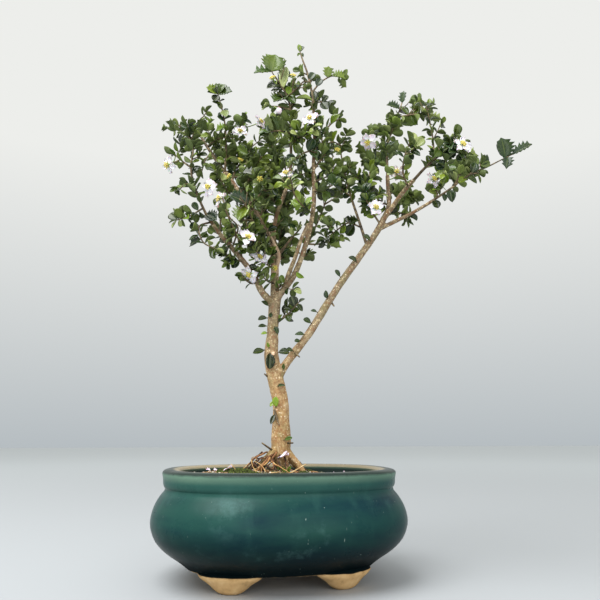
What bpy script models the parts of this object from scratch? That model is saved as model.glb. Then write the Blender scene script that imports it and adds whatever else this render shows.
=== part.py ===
"""A flowering singapore holly bonsai in a glazed oval pot, in metres, +Z up.

The pot is centred on the origin with its long side along X while it is built. At the end one empty
carries everything, so that the whole thing stands on z = 0 centred on its own box.
"""

import math
import random

import bmesh
import bpy
from mathutils import Matrix, Vector
from mathutils.bvhtree import BVHTree

MM = 0.001

# Pot
POT_HALF_LENGTH = 0.1257
POT_HALF_WIDTH = 0.1036
POT_SQUARENESS = 2.43
POT_SEGMENTS = 28
POT_BASE_Z = 0.0156
POT_BELLY_Z = 0.0526
POT_NECK_Z = 0.0861
POT_RIM_Z = 0.1037
BASE_INSET = 0.0368
BELLY_INSET = 0.0045
NECK_INSET = 0.0170
LIP_INSET = 0.0152
MOUTH_INSET = 0.0310
POT_WALL = 0.0085
POT_FLOOR = 0.0090
FOOT_ALONG = 0.0507
FOOT_ACROSS = 0.0490
FOOT_TURN = math.radians(24)
FOOT_SIDES = 10
FOOT_STEPS = ((0, 0.0095, 0.0070), (0.0020, 0.0125, 0.0090), (0.0075, 0.0190, 0.0120),
              (0.0125, 0.0270, 0.0150), (0.0190, 0.0310, 0.0165))
DRAIN_ALONG = 0.040
DRAIN_RADIUS = 0.008
SCREEN_SIDE = 0.026
SCREEN_THICK = 0.0010
SCREEN_OPENING = 0.0065
SCREEN_OPENING_AT = 0.0039

# Soil
SOIL_GAP = 0.0006
SOIL_EDGE_Z = 0.0925
SOIL_MOUND = 0.0085
SOIL_MOUND_AT = (-0.012, 0.0)
SOIL_MOUND_SPREAD = 0.045

TRUNK_FOOT_Z = 0.070
CLEAR = 0.0003
BLADE = 0.0006
SEED = 7

# The camera that the branches were traced through: pixels of a 600 x 600 frame, with a depth in
# millimetres behind (+) or in front of (-) the trunk.
CAMERA_DISTANCE = 0.593
CAMERA_HEIGHT = 0.1361
CAMERA_PITCH = math.radians(6.5)
FOCAL_PIXELS = 600
AXIS_PIXEL = (300, 366)
POT_TURN = math.radians(11)
POT_AT = -0.020

# The trunk's radius in millimetres at each of its traced points.
TRUNK_RADII = (10.8, 10.4, 9.9, 8.4, 7.9, 8.0, 7.4, 5.8, 5.9, 6.5)

# Each limb of the wood: traced points, then its radius in millimetres at the foot and at the end.
LIMBS = {
    "trunk": ([(281, 478, 0), (281, 462, 0), (281, 442, 0), (281, 420, 0), (280.5, 402, 0), (276, 381, 0),
               (271.5, 357, 0), (272.5, 334, 0), (274, 312, 0), (275, 299, 0)], 1.0, 1.0),
    "long_limb": ([(275, 384, 0), (282, 370, -2), (291, 357, -4), (310, 332, -8), (326, 306, -10),
                   (342, 281, -12), (358, 259, -13), (376, 233, -15), (384, 218, -11)], 5.0, 3.6),
    "limb_up": ([(382, 222, -13), (388.5, 207, -4), (388.3, 192, 2), (387.5, 176, 6)], 2.7, 2.1),
    "limb_diagonal": ([(383, 220, -13), (393, 206, -20), (404, 191, -28), (414, 180, -34)], 2.6, 2.0),
    "limb_low": ([(377, 230, -15), (394, 222, -8), (414, 212, 0), (434, 200, 6)], 2.2, 1.7),
    "left_limb": ([(274, 305, 0), (262, 292, -6), (254, 276, -12), (244, 262, -18), (232, 248, -24),
                   (220, 234, -30), (206, 214, -35)], 3.6, 1.9),
    "limb_b": ([(275, 302, 0), (275, 285, 3), (274.5, 262, 8), (273, 242, 14), (266, 227, 18),
                (254, 210, 24), (240, 193, 30), (225, 172, 35)], 4.6, 2.6),
    "stub": ([(274.5, 262, 8), (274, 245, -1), (268, 234, -6), (260, 222, -10), (254, 210, -14)], 3.2, 2.9),
    "limb_c": ([(273, 242, 14), (276, 217, 8), (283, 198, 2), (289, 180, -2), (291, 160, -5)], 2.3, 1.7),
    "leader_left": ([(276, 302, 0), (284, 288, -5), (289, 273, -12), (295, 258, -18), (301, 240, -23),
                     (308, 224, -26)], 3.6, 2.2),
    "leader_right": ([(280, 294, -2), (292, 279, -6), (299, 264, -12), (305, 247, -18), (309.5, 231, -23),
                      (313, 212, -26), (314, 194, -26), (313.3, 168, -22), (314.5, 144, -16),
                      (314, 122, -10)], 3.8, 1.7),
}

# Surface roots, written as the limbs are.
ROOTS = {
    "root_left": ([(280, 450, 0), (268, 459, -3), (258, 466, -7), (247, 475, -12)], 5.0, 1.6),
    "root_left_back": ([(280, 452, 3), (265, 461, 12), (252, 469, 20), (243, 476, 26)], 4.4, 1.5),
    "root_left_front": ([(280, 449, -2), (273, 460, -11), (266, 469, -18), (259, 480, -24)], 4.2, 1.5),
    "root_right": ([(282, 448, 0), (291, 459, -3), (299, 468, -7), (308, 477, -11)], 4.6, 1.6),
    "root_right_back": ([(282, 450, 3), (291, 459, 14), (300, 468, 24), (306, 477, 31)], 4.2, 1.5),
    "root_front": ([(281, 452, -3), (284, 463, -13), (288, 474, -22), (292, 486, -30)], 3.8, 1.5),
    "root_crossing": ([(266, 458, -6), (262, 463, 2), (254, 467, 8), (248, 474, 12)], 2.0, 1.2),
}

# Each leafy branch: its twigs, the first one growing from the wood and the rest from the first. A
# twig is its traced points, how many leaves it bears, their length in millimetres and the share of
# them with spines on the edge.
BARE_FOOT = 0.18
SPRAYS = {
    "crown_c": [
        ([(291, 158, -6), (291, 130, -10), (290, 107, -12), (286, 94, -14), (278, 81, -16),
          (271, 70, -18)], 9, 21, 1.0),
        ([(290, 110, -12), (280, 107, -21), (270, 106, -27)], 5, 18, 0.7),
        ([(291, 134, -9), (280, 131, -22), (268, 132, -31)], 5, 19, 0.8),
        ([(291, 145, -8), (302, 135, -24), (309, 132, -34)], 4, 17, 0.6),
        ([(287, 97, -14), (295, 90, -24), (300, 84, -28)], 3, 18, 0.4)],
    "crown_leader": [
        ([(314, 120, -10), (313, 104, -5), (311, 88, -1), (307, 72, 4), (303, 61, 7),
          (299, 51, 10)], 8, 15, 0.1),
        ([(312, 93, -2), (321, 82, 6), (332, 76, 12), (342, 77, 16)], 6, 17, 0.3),
        ([(313, 104, -5), (321, 102, 8), (330, 105, 14)], 5, 16, 0.1),
        ([(310, 82, 1), (303, 82, -9), (299, 88, -16)], 3, 15, 0.0)],
    "side_vertical": [
        ([(313.3, 170, -22), (321, 158, -14), (322, 142, -9), (322, 126, -4)], 6, 16, 0.1),
        ([(322, 148, -10), (332, 142, 0), (342, 146, 8)], 4, 16, 0.1),
        ([(322, 135, -7), (331, 124, 2), (339, 119, 6)], 4, 17, 0.1)],
    "crown_b": [
        ([(226, 174, 35), (214, 157, 39), (206, 145, 42), (198, 133, 46), (186, 129, 46),
          (176, 124, 46)], 6, 15, 0.2),
        ([(202, 139, 44), (199, 124, 52), (206, 113, 58)], 5, 15, 0.4),
        ([(211, 152, 40), (205, 161, 28), (202, 171, 20)], 4, 15, 0.0),
        ([(207, 147, 42), (218, 139, 27), (231, 137, 20)], 4, 16, 0.2)],
    "upright": [
        ([(225, 172, 33), (226, 142, 28), (224, 118, 24), (220, 96, 20)], 9, 17, 0.5)],
    "crown_left": [
        ([(207, 216, -35), (200, 201, -39), (193, 182, -42), (191, 166, -43), (193, 150, -44),
          (188, 136, -42), (177, 130, -40)], 7, 15, 0.1),
        ([(191, 168, -42), (182, 161, -36), (174, 154, -30)], 3, 15, 0.1),
        ([(195, 188, -41), (186, 184, -50), (179, 190, -56)], 4, 18, 0.5),
        ([(203, 208, -38), (190, 216, -41), (177, 220, -44)], 5, 15, 0.0)],
    "left_drop": [
        ([(211, 222, -33), (199, 227, -42), (203, 242, -47), (216, 249, -50)], 6, 16, 0.2)],
    "left_inner": [
        ([(220, 234, -30), (221, 218, -14), (226, 204, -4)], 5, 16, 0.1)],
    "left_base": [
        ([(244, 262, -18), (234, 259, -28), (222, 252, -36)], 5, 15, 0.1)],
    "left_root": [
        ([(257, 283, -9), (250, 283, -20), (242, 276, -28)], 4, 14, 0.0)],
    "front_left": [
        ([(242, 259, -19), (238, 238, -38), (228, 216, -54), (222, 196, -64)], 7, 16, 0.1)],
    "left_back": [
        ([(232, 182, 33), (237, 160, 48), (242, 124, 60)], 7, 16, 0.2),
        ([(237, 160, 48), (248, 150, 42), (259, 141, 38)], 4, 17, 0.4)],
    "b_middle": [
        ([(241, 194, 30), (249, 180, 14), (255, 167, 4), (262, 156, -4)], 6, 17, 0.5),
        ([(248, 182, 16), (246, 166, 22), (250, 150, 20)], 5, 17, 0.3)],
    "stub_shoot": [
        ([(255, 212, -13), (247, 205, -27), (239, 209, -38)], 4, 17, 0.2),
        ([(248, 206, -26), (258, 197, -38), (264, 186, -46)], 4, 16, 0.2)],
    "b_low": [
        ([(267, 229, 17), (258, 220, 36), (250, 204, 48), (246, 190, 54)], 6, 16, 0.1)],
    "c_low": [
        ([(280, 206, 5), (270, 197, -10), (262, 186, -19), (256, 176, -26)], 6, 16, 0.2)],
    "c_right": [
        ([(290.5, 167, -4), (297, 179, -4), (304, 188, -2)], 4, 15, 0.1)],
    "c_back": [
        ([(290, 174, -3), (281, 168, 12), (272, 168, 26)], 5, 17, 0.3)],
    "leader_front": [
        ([(312.5, 214, -26), (303, 206, -44), (295, 196, -58), (291, 180, -68)], 7, 16, 0.1)],
    "leader_out": [
        ([(314, 192, -26), (324, 189, -40), (335, 184, -50)], 5, 16, 0.1)],
    "leader_back": [
        ([(313.5, 182, -24), (324, 178, -6), (338, 172, 4)], 5, 16, 0.0)],
    "leader_in": [
        ([(314.3, 150, -17), (304, 153, -32), (295, 160, -42)], 5, 16, 0.1)],
    "low_right": [
        ([(307, 244, -20), (319, 244, -15), (331, 239, -10)], 4, 15, 0.1)],
    "limb_twig": [
        ([(367, 246, -14), (360, 224, -6), (352, 200, 4), (347, 182, 10), (342, 160, 14),
          (340, 143, 18)], 6, 15, 0.0),
        ([(361, 227, -7), (348, 223, -16), (336, 231, -20), (324, 240, -24)], 6, 16, 0.1)],
    "limb_middle": [
        ([(380, 224, -14), (370, 207, -16), (368, 187, -14), (372, 160, -11)],
         9, 15, 0.2)],
    "crown_up": [
        ([(387.6, 180, 5), (387, 160, 10), (387, 147, 12), (391, 132, 16), (397, 117, 18),
          (402, 106, 20)], 7, 20, 0.7),
        ([(390, 137, 15), (380, 129, 26), (373, 124, 32)], 4, 17, 0.3),
        ([(397, 117, 18), (410, 115, 10), (422, 113, 4)], 4, 17, 0.2),
        ([(387, 163, 9), (376, 160, 18), (364, 152, 24)], 4, 16, 0.1)],
    "up_side": [
        ([(388.3, 194, 1), (399, 192, 16), (411, 196, 26)], 5, 17, 0.1)],
    "crown_diagonal": [
        ([(412, 182, -33), (427, 166, -42), (447, 150, -52), (457, 152, -60), (466, 157, -67)],
         6, 15, 0.2),
        ([(434, 160, -46), (433, 140, -44), (429, 118, -42), (426, 106, -42)], 6, 15, 0.1),
        ([(444, 152, -51), (446, 162, -64), (444, 174, -72)], 4, 16, 0.1)],
    "diagonal_side": [
        ([(408, 187, -31), (403, 172, -46), (405, 155, -56), (410, 143, -60)], 6, 16, 0.2)],
    "crown_low": [
        ([(432, 201, 5), (450, 189, 11), (466, 177, 17), (481, 169, 20)], 6, 17, 0.1),
        ([(438, 198, 7), (436, 183, -4), (441, 170, -12)], 4, 16, 0.1),
        ([(455, 186, 13), (462, 171, 28), (469, 160, 36)], 5, 17, 0.1),
        ([(479, 170, 19), (494, 164, 24), (510, 157, 28), (529, 146, 32)], 4, 19, 1.0)],
    "back_limb": [
        ([(274.6, 266, 7), (280, 238, 30), (284, 206, 54), (280, 172, 72), (272, 140, 86),
          (270, 128, 92)], 8, 16, 0.1),
        ([(284, 206, 54), (272, 198, 66), (262, 186, 76)], 4, 16, 0.1)],
    "back_right": [
        ([(296, 270, -9), (303, 253, 12), (315, 228, 38), (326, 200, 58), (332, 168, 72),
          (332, 142, 82)], 7, 16, 0.1),
        ([(325, 204, 56), (338, 196, 68), (350, 186, 74)], 4, 16, 0.1)],
    "trunk_shoot": [
        ([(274, 325, 0), (287, 315, -9), (300, 301, -14)], 4, 14, 0.0)],
}
TWIG_RADII = (0.0011, 0.0006)
LEAF_SHARE = 0.9
TIP_LEAF = 0.75
CROWN_AXIS = Vector((0.02, 0.0, 0.0))

# Half a leaf's edge, as shares of its length along, across and up.
SPINY_EDGE = ((0.30, 0.34, 0.10), (0.46, 0.20, 0.02), (0.72, 0.36, 0.12))
ROUND_EDGE = ((0.46, 0.37, 0.09), (0.95, 0.24, 0.05))
PETAL_EDGE = ((0.66, 0.42, 0.26), (1.0, 0.22, 0.18))
TWIG_SIDES = 4

# Open flowers: traced centre, and where each one faces, as X, Y and Z.
BLOOMS = {
    "a": ((168, 165, -30), (-0.6, -0.8, 0.3)),
    "b": ((240, 132, 44), (0.1, -0.9, 0.5)),
    "c": ((260, 122, 50), (0.5, -0.7, 0.5)),
    "d": ((209, 187, -50), (-0.3, -0.9, 0.4)),
    "e": ((247, 236, -52), (0.0, -1.0, 0.2)),
    "f": ((251, 275, -30), (-0.3, -0.9, -0.1)),
    "g": ((293, 77, -28), (0.3, -0.7, 0.7)),
    "h": ((310, 119, -24), (-0.2, -0.9, 0.4)),
    "i": ((368, 142, -22), (-0.4, -0.9, 0.3)),
    "j": ((375, 208, -34), (0.2, -1.0, 0.3)),
    "k": ((461, 145, -74), (0.3, -0.7, 0.6)),
}
PETAL_LENGTH = 0.0085
PETAL_COUNT = 5
STAMEN_RADIUS = 0.0021
STAMEN_HEIGHT = 0.0030
STALK_RADIUS = 0.0006


def clear_scene():
    for obj in list(bpy.data.objects):
        bpy.data.objects.remove(obj)


def material(name, colour, roughness):
    made = bpy.data.materials.new(name)
    made.use_nodes = True
    shader = made.node_tree.nodes["Principled BSDF"]
    shader.inputs["Base Color"].default_value = (*colour, 1)
    shader.inputs["Roughness"].default_value = roughness
    return made


def add_object(name, bm, finish=None, smooth=False):
    mesh = bpy.data.meshes.new(name)
    bmesh.ops.recalc_face_normals(bm, faces=bm.faces)
    for face in bm.faces:
        face.smooth = smooth
    bm.to_mesh(mesh)
    bm.free()
    obj = bpy.data.objects.new(name, mesh)
    bpy.context.scene.collection.objects.link(obj)
    if finish:
        mesh.materials.append(finish)
    return obj


def boolean(obj, others, operation):
    """Join the other objects to this one, or cut them out of it, and remove them."""
    if not others:
        return
    group = bpy.data.collections.new(obj.name + "_group")
    bpy.context.scene.collection.children.link(group)
    for other in others:
        bpy.context.scene.collection.objects.unlink(other)
        group.objects.link(other)
    change = obj.modifiers.new("change", "BOOLEAN")
    change.operand_type = "COLLECTION"
    change.collection = group
    change.operation = operation
    change.solver = "MANIFOLD"
    graph = bpy.context.evaluated_depsgraph_get()
    mesh = bpy.data.meshes.new_from_object(obj.evaluated_get(graph))
    obj.modifiers.clear()
    obj.data = mesh
    for other in others:
        bpy.data.objects.remove(other)
    bpy.data.collections.remove(group)


def traced(point):
    """A traced pixel and its depth, as a place beside the pot."""
    across = (point[0] - AXIS_PIXEL[0]) / FOCAL_PIXELS
    rise = (AXIS_PIXEL[1] - point[1]) / FOCAL_PIXELS
    forward = math.cos(CAMERA_PITCH) - rise * math.sin(CAMERA_PITCH)
    upward = math.sin(CAMERA_PITCH) + rise * math.cos(CAMERA_PITCH)
    reach = (CAMERA_DISTANCE + point[2] * MM) / forward
    seen = Vector((across * reach - POT_AT, point[2] * MM, CAMERA_HEIGHT + upward * reach))
    return Matrix.Rotation(-POT_TURN, 3, "Z") @ seen


def smooth_route(points, per_span):
    """A Catmull-Rom curve through the points."""
    ends = [2 * points[0] - points[1], *points, 2 * points[-1] - points[-2]]
    route = []
    for i in range(1, len(ends) - 2):
        a, b, c, d = ends[i - 1:i + 3]
        for step in range(per_span):
            t = step / per_span
            route.append(0.5 * (2 * b + (c - a) * t + (2 * a - 5 * b + 4 * c - d) * t * t
                                + (3 * b - a - 3 * c + d) * t ** 3))
    return [*route, points[-1]]


def frames(route):
    """A side vector for each point of a route, turned as little as possible from one to the next."""
    side = (route[1] - route[0]).orthogonal().normalized()
    sides = []
    for i, _ in enumerate(route):
        along = (route[min(i + 1, len(route) - 1)] - route[max(i - 1, 0)]).normalized()
        side = (side - side.dot(along) * along).normalized()
        sides.append((side, along.cross(side), along))
    return sides


def tube(bm, route, radii, sides, shape=None):
    """A closed tube whose radius runs between the two given, or follows shape(share, angle)."""
    rings = []
    for i, (centre, (side, other, _)) in enumerate(zip(route, frames(route))):
        share = i / (len(route) - 1)
        radius = radii[0] + (radii[1] - radii[0]) * share
        ring = []
        for k in range(sides):
            angle = 2 * math.pi * k / sides
            reach = radius * (shape(share, angle) if shape else 1)
            ring.append(bm.verts.new(centre + reach * (math.cos(angle) * side + math.sin(angle) * other)))
        rings.append(ring)
    skin_rings(bm, rings)


def skin_rings(bm, rings):
    for low, high in zip(rings, rings[1:]):
        for k, vert in enumerate(low):
            after = (k + 1) % len(low)
            bm.faces.new((vert, low[after], high[after], high[k]))
    bm.faces.new(rings[0])
    bm.faces.new(rings[-1])


def tube_object(name, *args):
    bm = bmesh.new()
    tube(bm, *args)
    return add_object(name, bm)


def oval_radius(angle, inset):
    """How far the pot's oval, drawn in by the inset, lies from the middle at this angle."""
    a = POT_HALF_LENGTH - inset
    b = POT_HALF_WIDTH - inset
    n = POT_SQUARENESS
    return (abs(math.cos(angle) / a) ** n + abs(math.sin(angle) / b) ** n) ** (-1 / n)


def oval_ring(bm, inset, z):
    ring = []
    for k in range(POT_SEGMENTS):
        angle = 2 * math.pi * k / POT_SEGMENTS
        reach = oval_radius(angle, inset)
        height = z(reach * math.cos(angle), reach * math.sin(angle)) if callable(z) else z
        ring.append(bm.verts.new((reach * math.cos(angle), reach * math.sin(angle), height)))
    return ring


def wall_inset(z):
    """The inset of the pot's outer face at a height between the base and the neck."""
    if z < POT_BELLY_Z:
        share = (POT_BELLY_Z - z) / (POT_BELLY_Z - POT_BASE_Z)
        return BELLY_INSET + (BASE_INSET - BELLY_INSET) * share ** 1.6
    share = (z - POT_BELLY_Z) / (POT_NECK_Z - POT_BELLY_Z)
    return BELLY_INSET + (NECK_INSET - BELLY_INSET) * share ** 2


def inner_profile(gap=0.0):
    """Inset and height of the pot's inner face, from the floor up to the mouth."""
    floor = POT_BASE_Z + POT_FLOOR + gap
    profile = [(wall_inset(floor) + POT_WALL + 0.012 + gap, floor)]
    for z in (0.034, POT_BELLY_Z, 0.070):
        profile.append((wall_inset(z) + POT_WALL + gap, z))
    profile.append((MOUTH_INSET - 0.002 + gap, POT_NECK_Z))
    return profile


def foot_object(sign_x, sign_y):
    """A bracket foot: a lobed block that swells in steps up into the pot's base."""
    bm = bmesh.new()
    rings = []
    for z, half_length, half_width in FOOT_STEPS:
        ring = []
        for k in range(FOOT_SIDES):
            angle = 2 * math.pi * k / FOOT_SIDES
            turn = Matrix.Rotation(-sign_x * sign_y * FOOT_TURN, 3, "Z")
            spot = turn @ Vector((half_length * math.cos(angle), half_width * math.sin(angle), 0))
            ring.append(bm.verts.new((sign_x * FOOT_ALONG + spot.x, sign_y * FOOT_ACROSS + spot.y, z)))
        rings.append(ring)
    skin_rings(bm, rings)
    return add_object("foot", bm)


def drain_hole(sign):
    bm = bmesh.new()
    bmesh.ops.create_cone(bm, cap_ends=True, segments=12, radius1=DRAIN_RADIUS, radius2=DRAIN_RADIUS,
                          depth=0.04)
    bmesh.ops.translate(bm, verts=bm.verts, vec=(sign * DRAIN_ALONG, 0, POT_BASE_Z + POT_FLOOR / 2))
    return add_object("drain", bm)


def make_pot(finish):
    bm = bmesh.new()
    rings = []
    for z in (POT_BASE_Z, 0.0215, 0.030, 0.040, 0.054, 0.067, 0.078, POT_NECK_Z):
        rings.append(oval_ring(bm, wall_inset(z), z))
    for inset, z in ((LIP_INSET + 0.0045, POT_NECK_Z + 0.0025), (LIP_INSET, POT_NECK_Z + 0.0045),
                     (LIP_INSET, POT_RIM_Z - 0.0035), (LIP_INSET + 0.003, POT_RIM_Z - 0.0008),
                     (LIP_INSET + 0.0085, POT_RIM_Z), (MOUTH_INSET - 0.002, POT_RIM_Z - 0.0008),
                     (MOUTH_INSET, POT_RIM_Z - 0.003)):
        rings.append(oval_ring(bm, inset, z))
    for inset, z in reversed(inner_profile()):
        rings.append(oval_ring(bm, inset, z))
    skin_rings(bm, rings)
    pot = add_object("pot", bm, finish)
    boolean(pot, [foot_object(x, y) for x in (-1, 1) for y in (-1, 1)], "UNION")
    boolean(pot, [drain_hole(sign) for sign in (-1, 1)], "DIFFERENCE")
    return pot


def block(name, size, at):
    bm = bmesh.new()
    bmesh.ops.create_cube(bm, size=1)
    bmesh.ops.scale(bm, verts=bm.verts, vec=size)
    bmesh.ops.translate(bm, verts=bm.verts, vec=at)
    return add_object(name, bm)


def make_screen(name, sign, finish):
    """Mesh over a drainage hole: a thin plate with four square openings."""
    z = POT_BASE_Z + POT_FLOOR + CLEAR + SCREEN_THICK / 2
    x = sign * DRAIN_ALONG
    screen = block(name, (SCREEN_SIDE, SCREEN_SIDE, SCREEN_THICK), (x, 0, z))
    openings = [block("opening", (SCREEN_OPENING, SCREEN_OPENING, 0.01),
                      (x + i * SCREEN_OPENING_AT, j * SCREEN_OPENING_AT, z))
                for i in (-1, 1) for j in (-1, 1)]
    boolean(screen, openings, "DIFFERENCE")
    screen.data.materials.append(finish)
    return screen


def soil_height(x, y):
    away = math.hypot(x - SOIL_MOUND_AT[0], y - SOIL_MOUND_AT[1])
    left = 0.0025 * max(0.0, -x) / POT_HALF_LENGTH
    return SOIL_EDGE_Z + left + SOIL_MOUND * math.exp(-0.5 * (away / SOIL_MOUND_SPREAD) ** 2)


def make_soil(finish):
    bm = bmesh.new()
    floor_gap = CLEAR + SCREEN_THICK + CLEAR
    rings = [oval_ring(bm, inset, max(z, POT_BASE_Z + POT_FLOOR + floor_gap))
             for inset, z in inner_profile(SOIL_GAP)]
    edge = MOUTH_INSET + SOIL_GAP
    rings += [oval_ring(bm, inset, soil_height) for inset in (edge, 0.062)]
    skin_rings(bm, rings)
    bmesh.ops.poke(bm, faces=[f for f in bm.faces if len(f.verts) > 4 and f.calc_center_median().z > 0.09])
    for vert in bm.verts:
        if vert.co.z > 0.09 and vert.co.xy.length < 0.002:
            vert.co.z = soil_height(vert.co.x, vert.co.y)
    return add_object("soil", bm, finish)


def trunk_shape(share, angle):
    """The trunk's radius in millimetres, with swells in the bark."""
    spot = share * (len(TRUNK_RADII) - 1)
    i = min(int(spot), len(TRUNK_RADII) - 2)
    radius = TRUNK_RADII[i] + (TRUNK_RADII[i + 1] - TRUNK_RADII[i]) * (spot - i)
    return radius + 0.4 * math.sin(3 * angle + 9 * share) + 0.3 * math.sin(14 * share + 2 * angle)


def limb_tube(name, limb, extra=0.0):
    points, foot, tip = limb
    if name == "trunk":
        route = smooth_route([traced(p) for p in points], 2)
        route[0].z = TRUNK_FOOT_Z
        return tube_object(name, route, (MM, MM), 10, lambda *at: trunk_shape(*at) + extra / MM)
    route = smooth_route([traced(p) for p in points], 1)
    sides = 7 if foot > 4.9 else 6 if foot > 2.5 else 5
    return tube_object(name, route, (foot * MM + extra, tip * MM + extra), sides)


def make_wood(finish):
    trunk = limb_tube("trunk", LIMBS["trunk"])
    others = [limb_tube(name, limb) for name, limb in {**LIMBS, **ROOTS}.items() if name != "trunk"]
    boolean(trunk, others + [cut_scar()], "UNION")
    trunk.name = trunk.data.name = "wood"
    trunk.data.materials.append(finish)
    return trunk


def cut_scar():
    """The healed end of a limb that was cut off the trunk."""
    at = traced((272.5, 355, -7))
    out = Vector((-0.25, -0.95, 0.1)).normalized()
    route = [at - 0.004 * out, at + 0.001 * out, at + 0.0022 * out]
    return tube_object("scar", route, (0.0062, 0.0042), 8)


def dig_hole(soil):
    """The plain hole that the trunk and its roots stand in."""
    cutters = [limb_tube(name, limb, 2 * CLEAR) for name, limb in ROOTS.items()]
    trunk = limb_tube("trunk", LIMBS["trunk"], 2 * CLEAR)
    for vert in trunk.data.vertices:
        if vert.co.z < TRUNK_FOOT_Z + CLEAR:
            vert.co.z -= CLEAR
    boolean(soil, [trunk, *cutters], "DIFFERENCE")


class Thicket:
    """Everything placed so far, so that what comes next can keep clear of it."""

    def __init__(self):
        self.trees = []

    def add(self, verts, faces):
        low = Vector([min(v[i] for v in verts) for i in range(3)])
        high = Vector([max(v[i] for v in verts) for i in range(3)])
        self.trees.append((low, high, BVHTree.FromPolygons(verts, faces)))

    def add_object(self, obj):
        self.add([v.co.copy() for v in obj.data.vertices], [tuple(p.vertices) for p in obj.data.polygons])

    def near(self, point):
        """How far outside the nearest surface a point is, or less than nothing inside it."""
        least = 0.02
        for _, _, tree in self.trees:
            at, normal, _, away = tree.find_nearest(point, least)
            if at:
                least = away if (point - at).dot(normal) > 0 else -away
            if least < 0:
                return least
        return least

    def blocks(self, verts, faces, but=None):
        """Whether a shape meets anything placed so far, but for the tree with the given number."""
        low = [min(v[i] for v in verts) for i in range(3)]
        high = [max(v[i] for v in verts) for i in range(3)]
        own = None
        for number, (at, to, tree) in enumerate(self.trees):
            if number == but or any(at[i] > high[i] or to[i] < low[i] for i in range(3)):
                continue
            own = own or BVHTree.FromPolygons(verts, faces)
            if tree.overlap(own):
                return True
        return False


def trimmed(route, radius, thicket):
    """The route from where a twig of this radius is clear of everything placed so far."""
    fine = []
    for a, b in zip(route, route[1:]):
        steps = max(1, int((b - a).length / 0.0002))
        fine += [(a.lerp(b, k / steps), b) for k in range(steps)]
    for at, after in fine:
        along = (after - at).normalized()
        side = along.orthogonal().normalized()
        other = along.cross(side)
        rim = [at + radius * (math.cos(a) * side + math.sin(a) * other)
               for a in [k * math.pi / 4 for k in range(8)]]
        if min(thicket.near(p) for p in [at, *rim]) > CLEAR:
            rest = [p for p in route[route.index(after):] if (p - at).length > 0.0015]
            return [at, *rest]
    raise ValueError("a twig never comes clear of the wood")


def spray_stems(twigs, thicket):
    """The twigs of one leafy branch: the first trimmed clear of the wood, the rest set on it."""
    main = smooth_route([traced(p) for p in twigs[0][0]], 2 if len(twigs[0][0]) < 4 else 1)
    main = trimmed(main, TWIG_RADII[0] * 1.25, thicket)
    routes = [main]
    for twig in twigs[1:]:
        points = [traced(p) for p in twig[0]]
        points[0] = min((a.lerp(b, k / 8) for a, b in zip(main, main[1:]) for k in range(8)),
                        key=lambda spot: (spot - points[0]).length)
        routes.append(smooth_route(points, 1))
    made = []
    for i, route in enumerate(routes):
        foot = TWIG_RADII[0] * (1.25 if i == 0 and len(twigs) > 1 else 0.9)
        made.append((route, (foot, TWIG_RADII[1])))
    return made


def leaf_mesh(base, along, normal, length, spiny):
    """A blade folded a little along its rib. A spiny one has teeth, waved up and down."""
    across = normal.cross(along)
    edge = SPINY_EDGE if spiny else ROUND_EDGE
    outline = [(0, 0, 0), *edge, *[(1, 0, -0.04)] * spiny, *[(x, -y, z) for x, y, z in reversed(edge)]]
    top = [base + length * (x * along + y * across + z * normal) + 0.5 * BLADE * normal
           for x, y, z in outline]
    low = [p - BLADE * normal for p in top]
    count = len(outline)
    faces = [(0, 1, count - 1)]
    faces += [(k, k + 1, count - k - 1, count - k) for k in range(1, len(edge))]
    if spiny:
        faces.append((len(edge), len(edge) + 1, len(edge) + 2))
    under = [tuple(count + i for i in reversed(f)) for f in faces]
    sides = [(i, count + i, count + (i + 1) % count, (i + 1) % count) for i in range(count)]
    return top + low, faces + under + sides


def leaf_seats(route, radii, leaves, draw):
    """Where leaves sit along a twig, in crossed pairs, with one at the tip."""
    sides = frames(route)
    pairs = max(1, leaves // 2)
    turn = draw.uniform(0, math.pi)
    seats = [(route[-1], sides[-1][2], sides[-1], radii[1])]
    for pair in range(pairs):
        share = BARE_FOOT + (0.97 - BARE_FOOT) * (pairs - pair - 0.35) / pairs
        spot = share * (len(route) - 1)
        i = min(int(spot), len(route) - 2)
        at = route[i].lerp(route[i + 1], spot - i)
        radius = radii[0] + (radii[1] - radii[0]) * share
        for half in (0, 1):
            seats.append((at, turn + math.pi * half + math.pi / 2 * pair, sides[i], radius))
    return seats[:leaves]


def aimed_leaf(seat, length, spiny, draw):
    at, turn, (side, other, along), radius = seat
    if isinstance(turn, Vector):
        out = (turn + 0.35 * Vector([draw.uniform(-1, 1) for _ in range(3)])).normalized()
        base = at - 0.0008 * along
    else:
        turn += draw.uniform(-0.6, 0.6)
        radial = math.cos(turn) * side + math.sin(turn) * other
        out = (radial + draw.uniform(0.1, 0.9) * along + 0.15 * Vector((0, 0, 1))).normalized()
        base = at + 0.35 * radius * radial
    outward = (at - CROWN_AXIS).xy.normalized()
    lean = Vector((outward.x + draw.uniform(-0.8, 0.8), outward.y + draw.uniform(-0.8, 0.8),
                   draw.uniform(0.1, 0.9)))
    normal = (lean - lean.dot(out) * out).normalized()
    made = leaf_mesh(base, out, normal, length, spiny)
    grown = leaf_mesh(base + (radius + 0.0007) * out, out, normal, length * 1.03 - radius, spiny)
    return made, grown


def leaf_object(name, leaves):
    """One object that holds all the closed blades."""
    bm = bmesh.new()
    for verts, faces in leaves:
        made = [bm.verts.new(v) for v in verts]
        for face in faces:
            bm.faces.new([made[i] for i in face])
    return add_object(name, bm)


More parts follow.
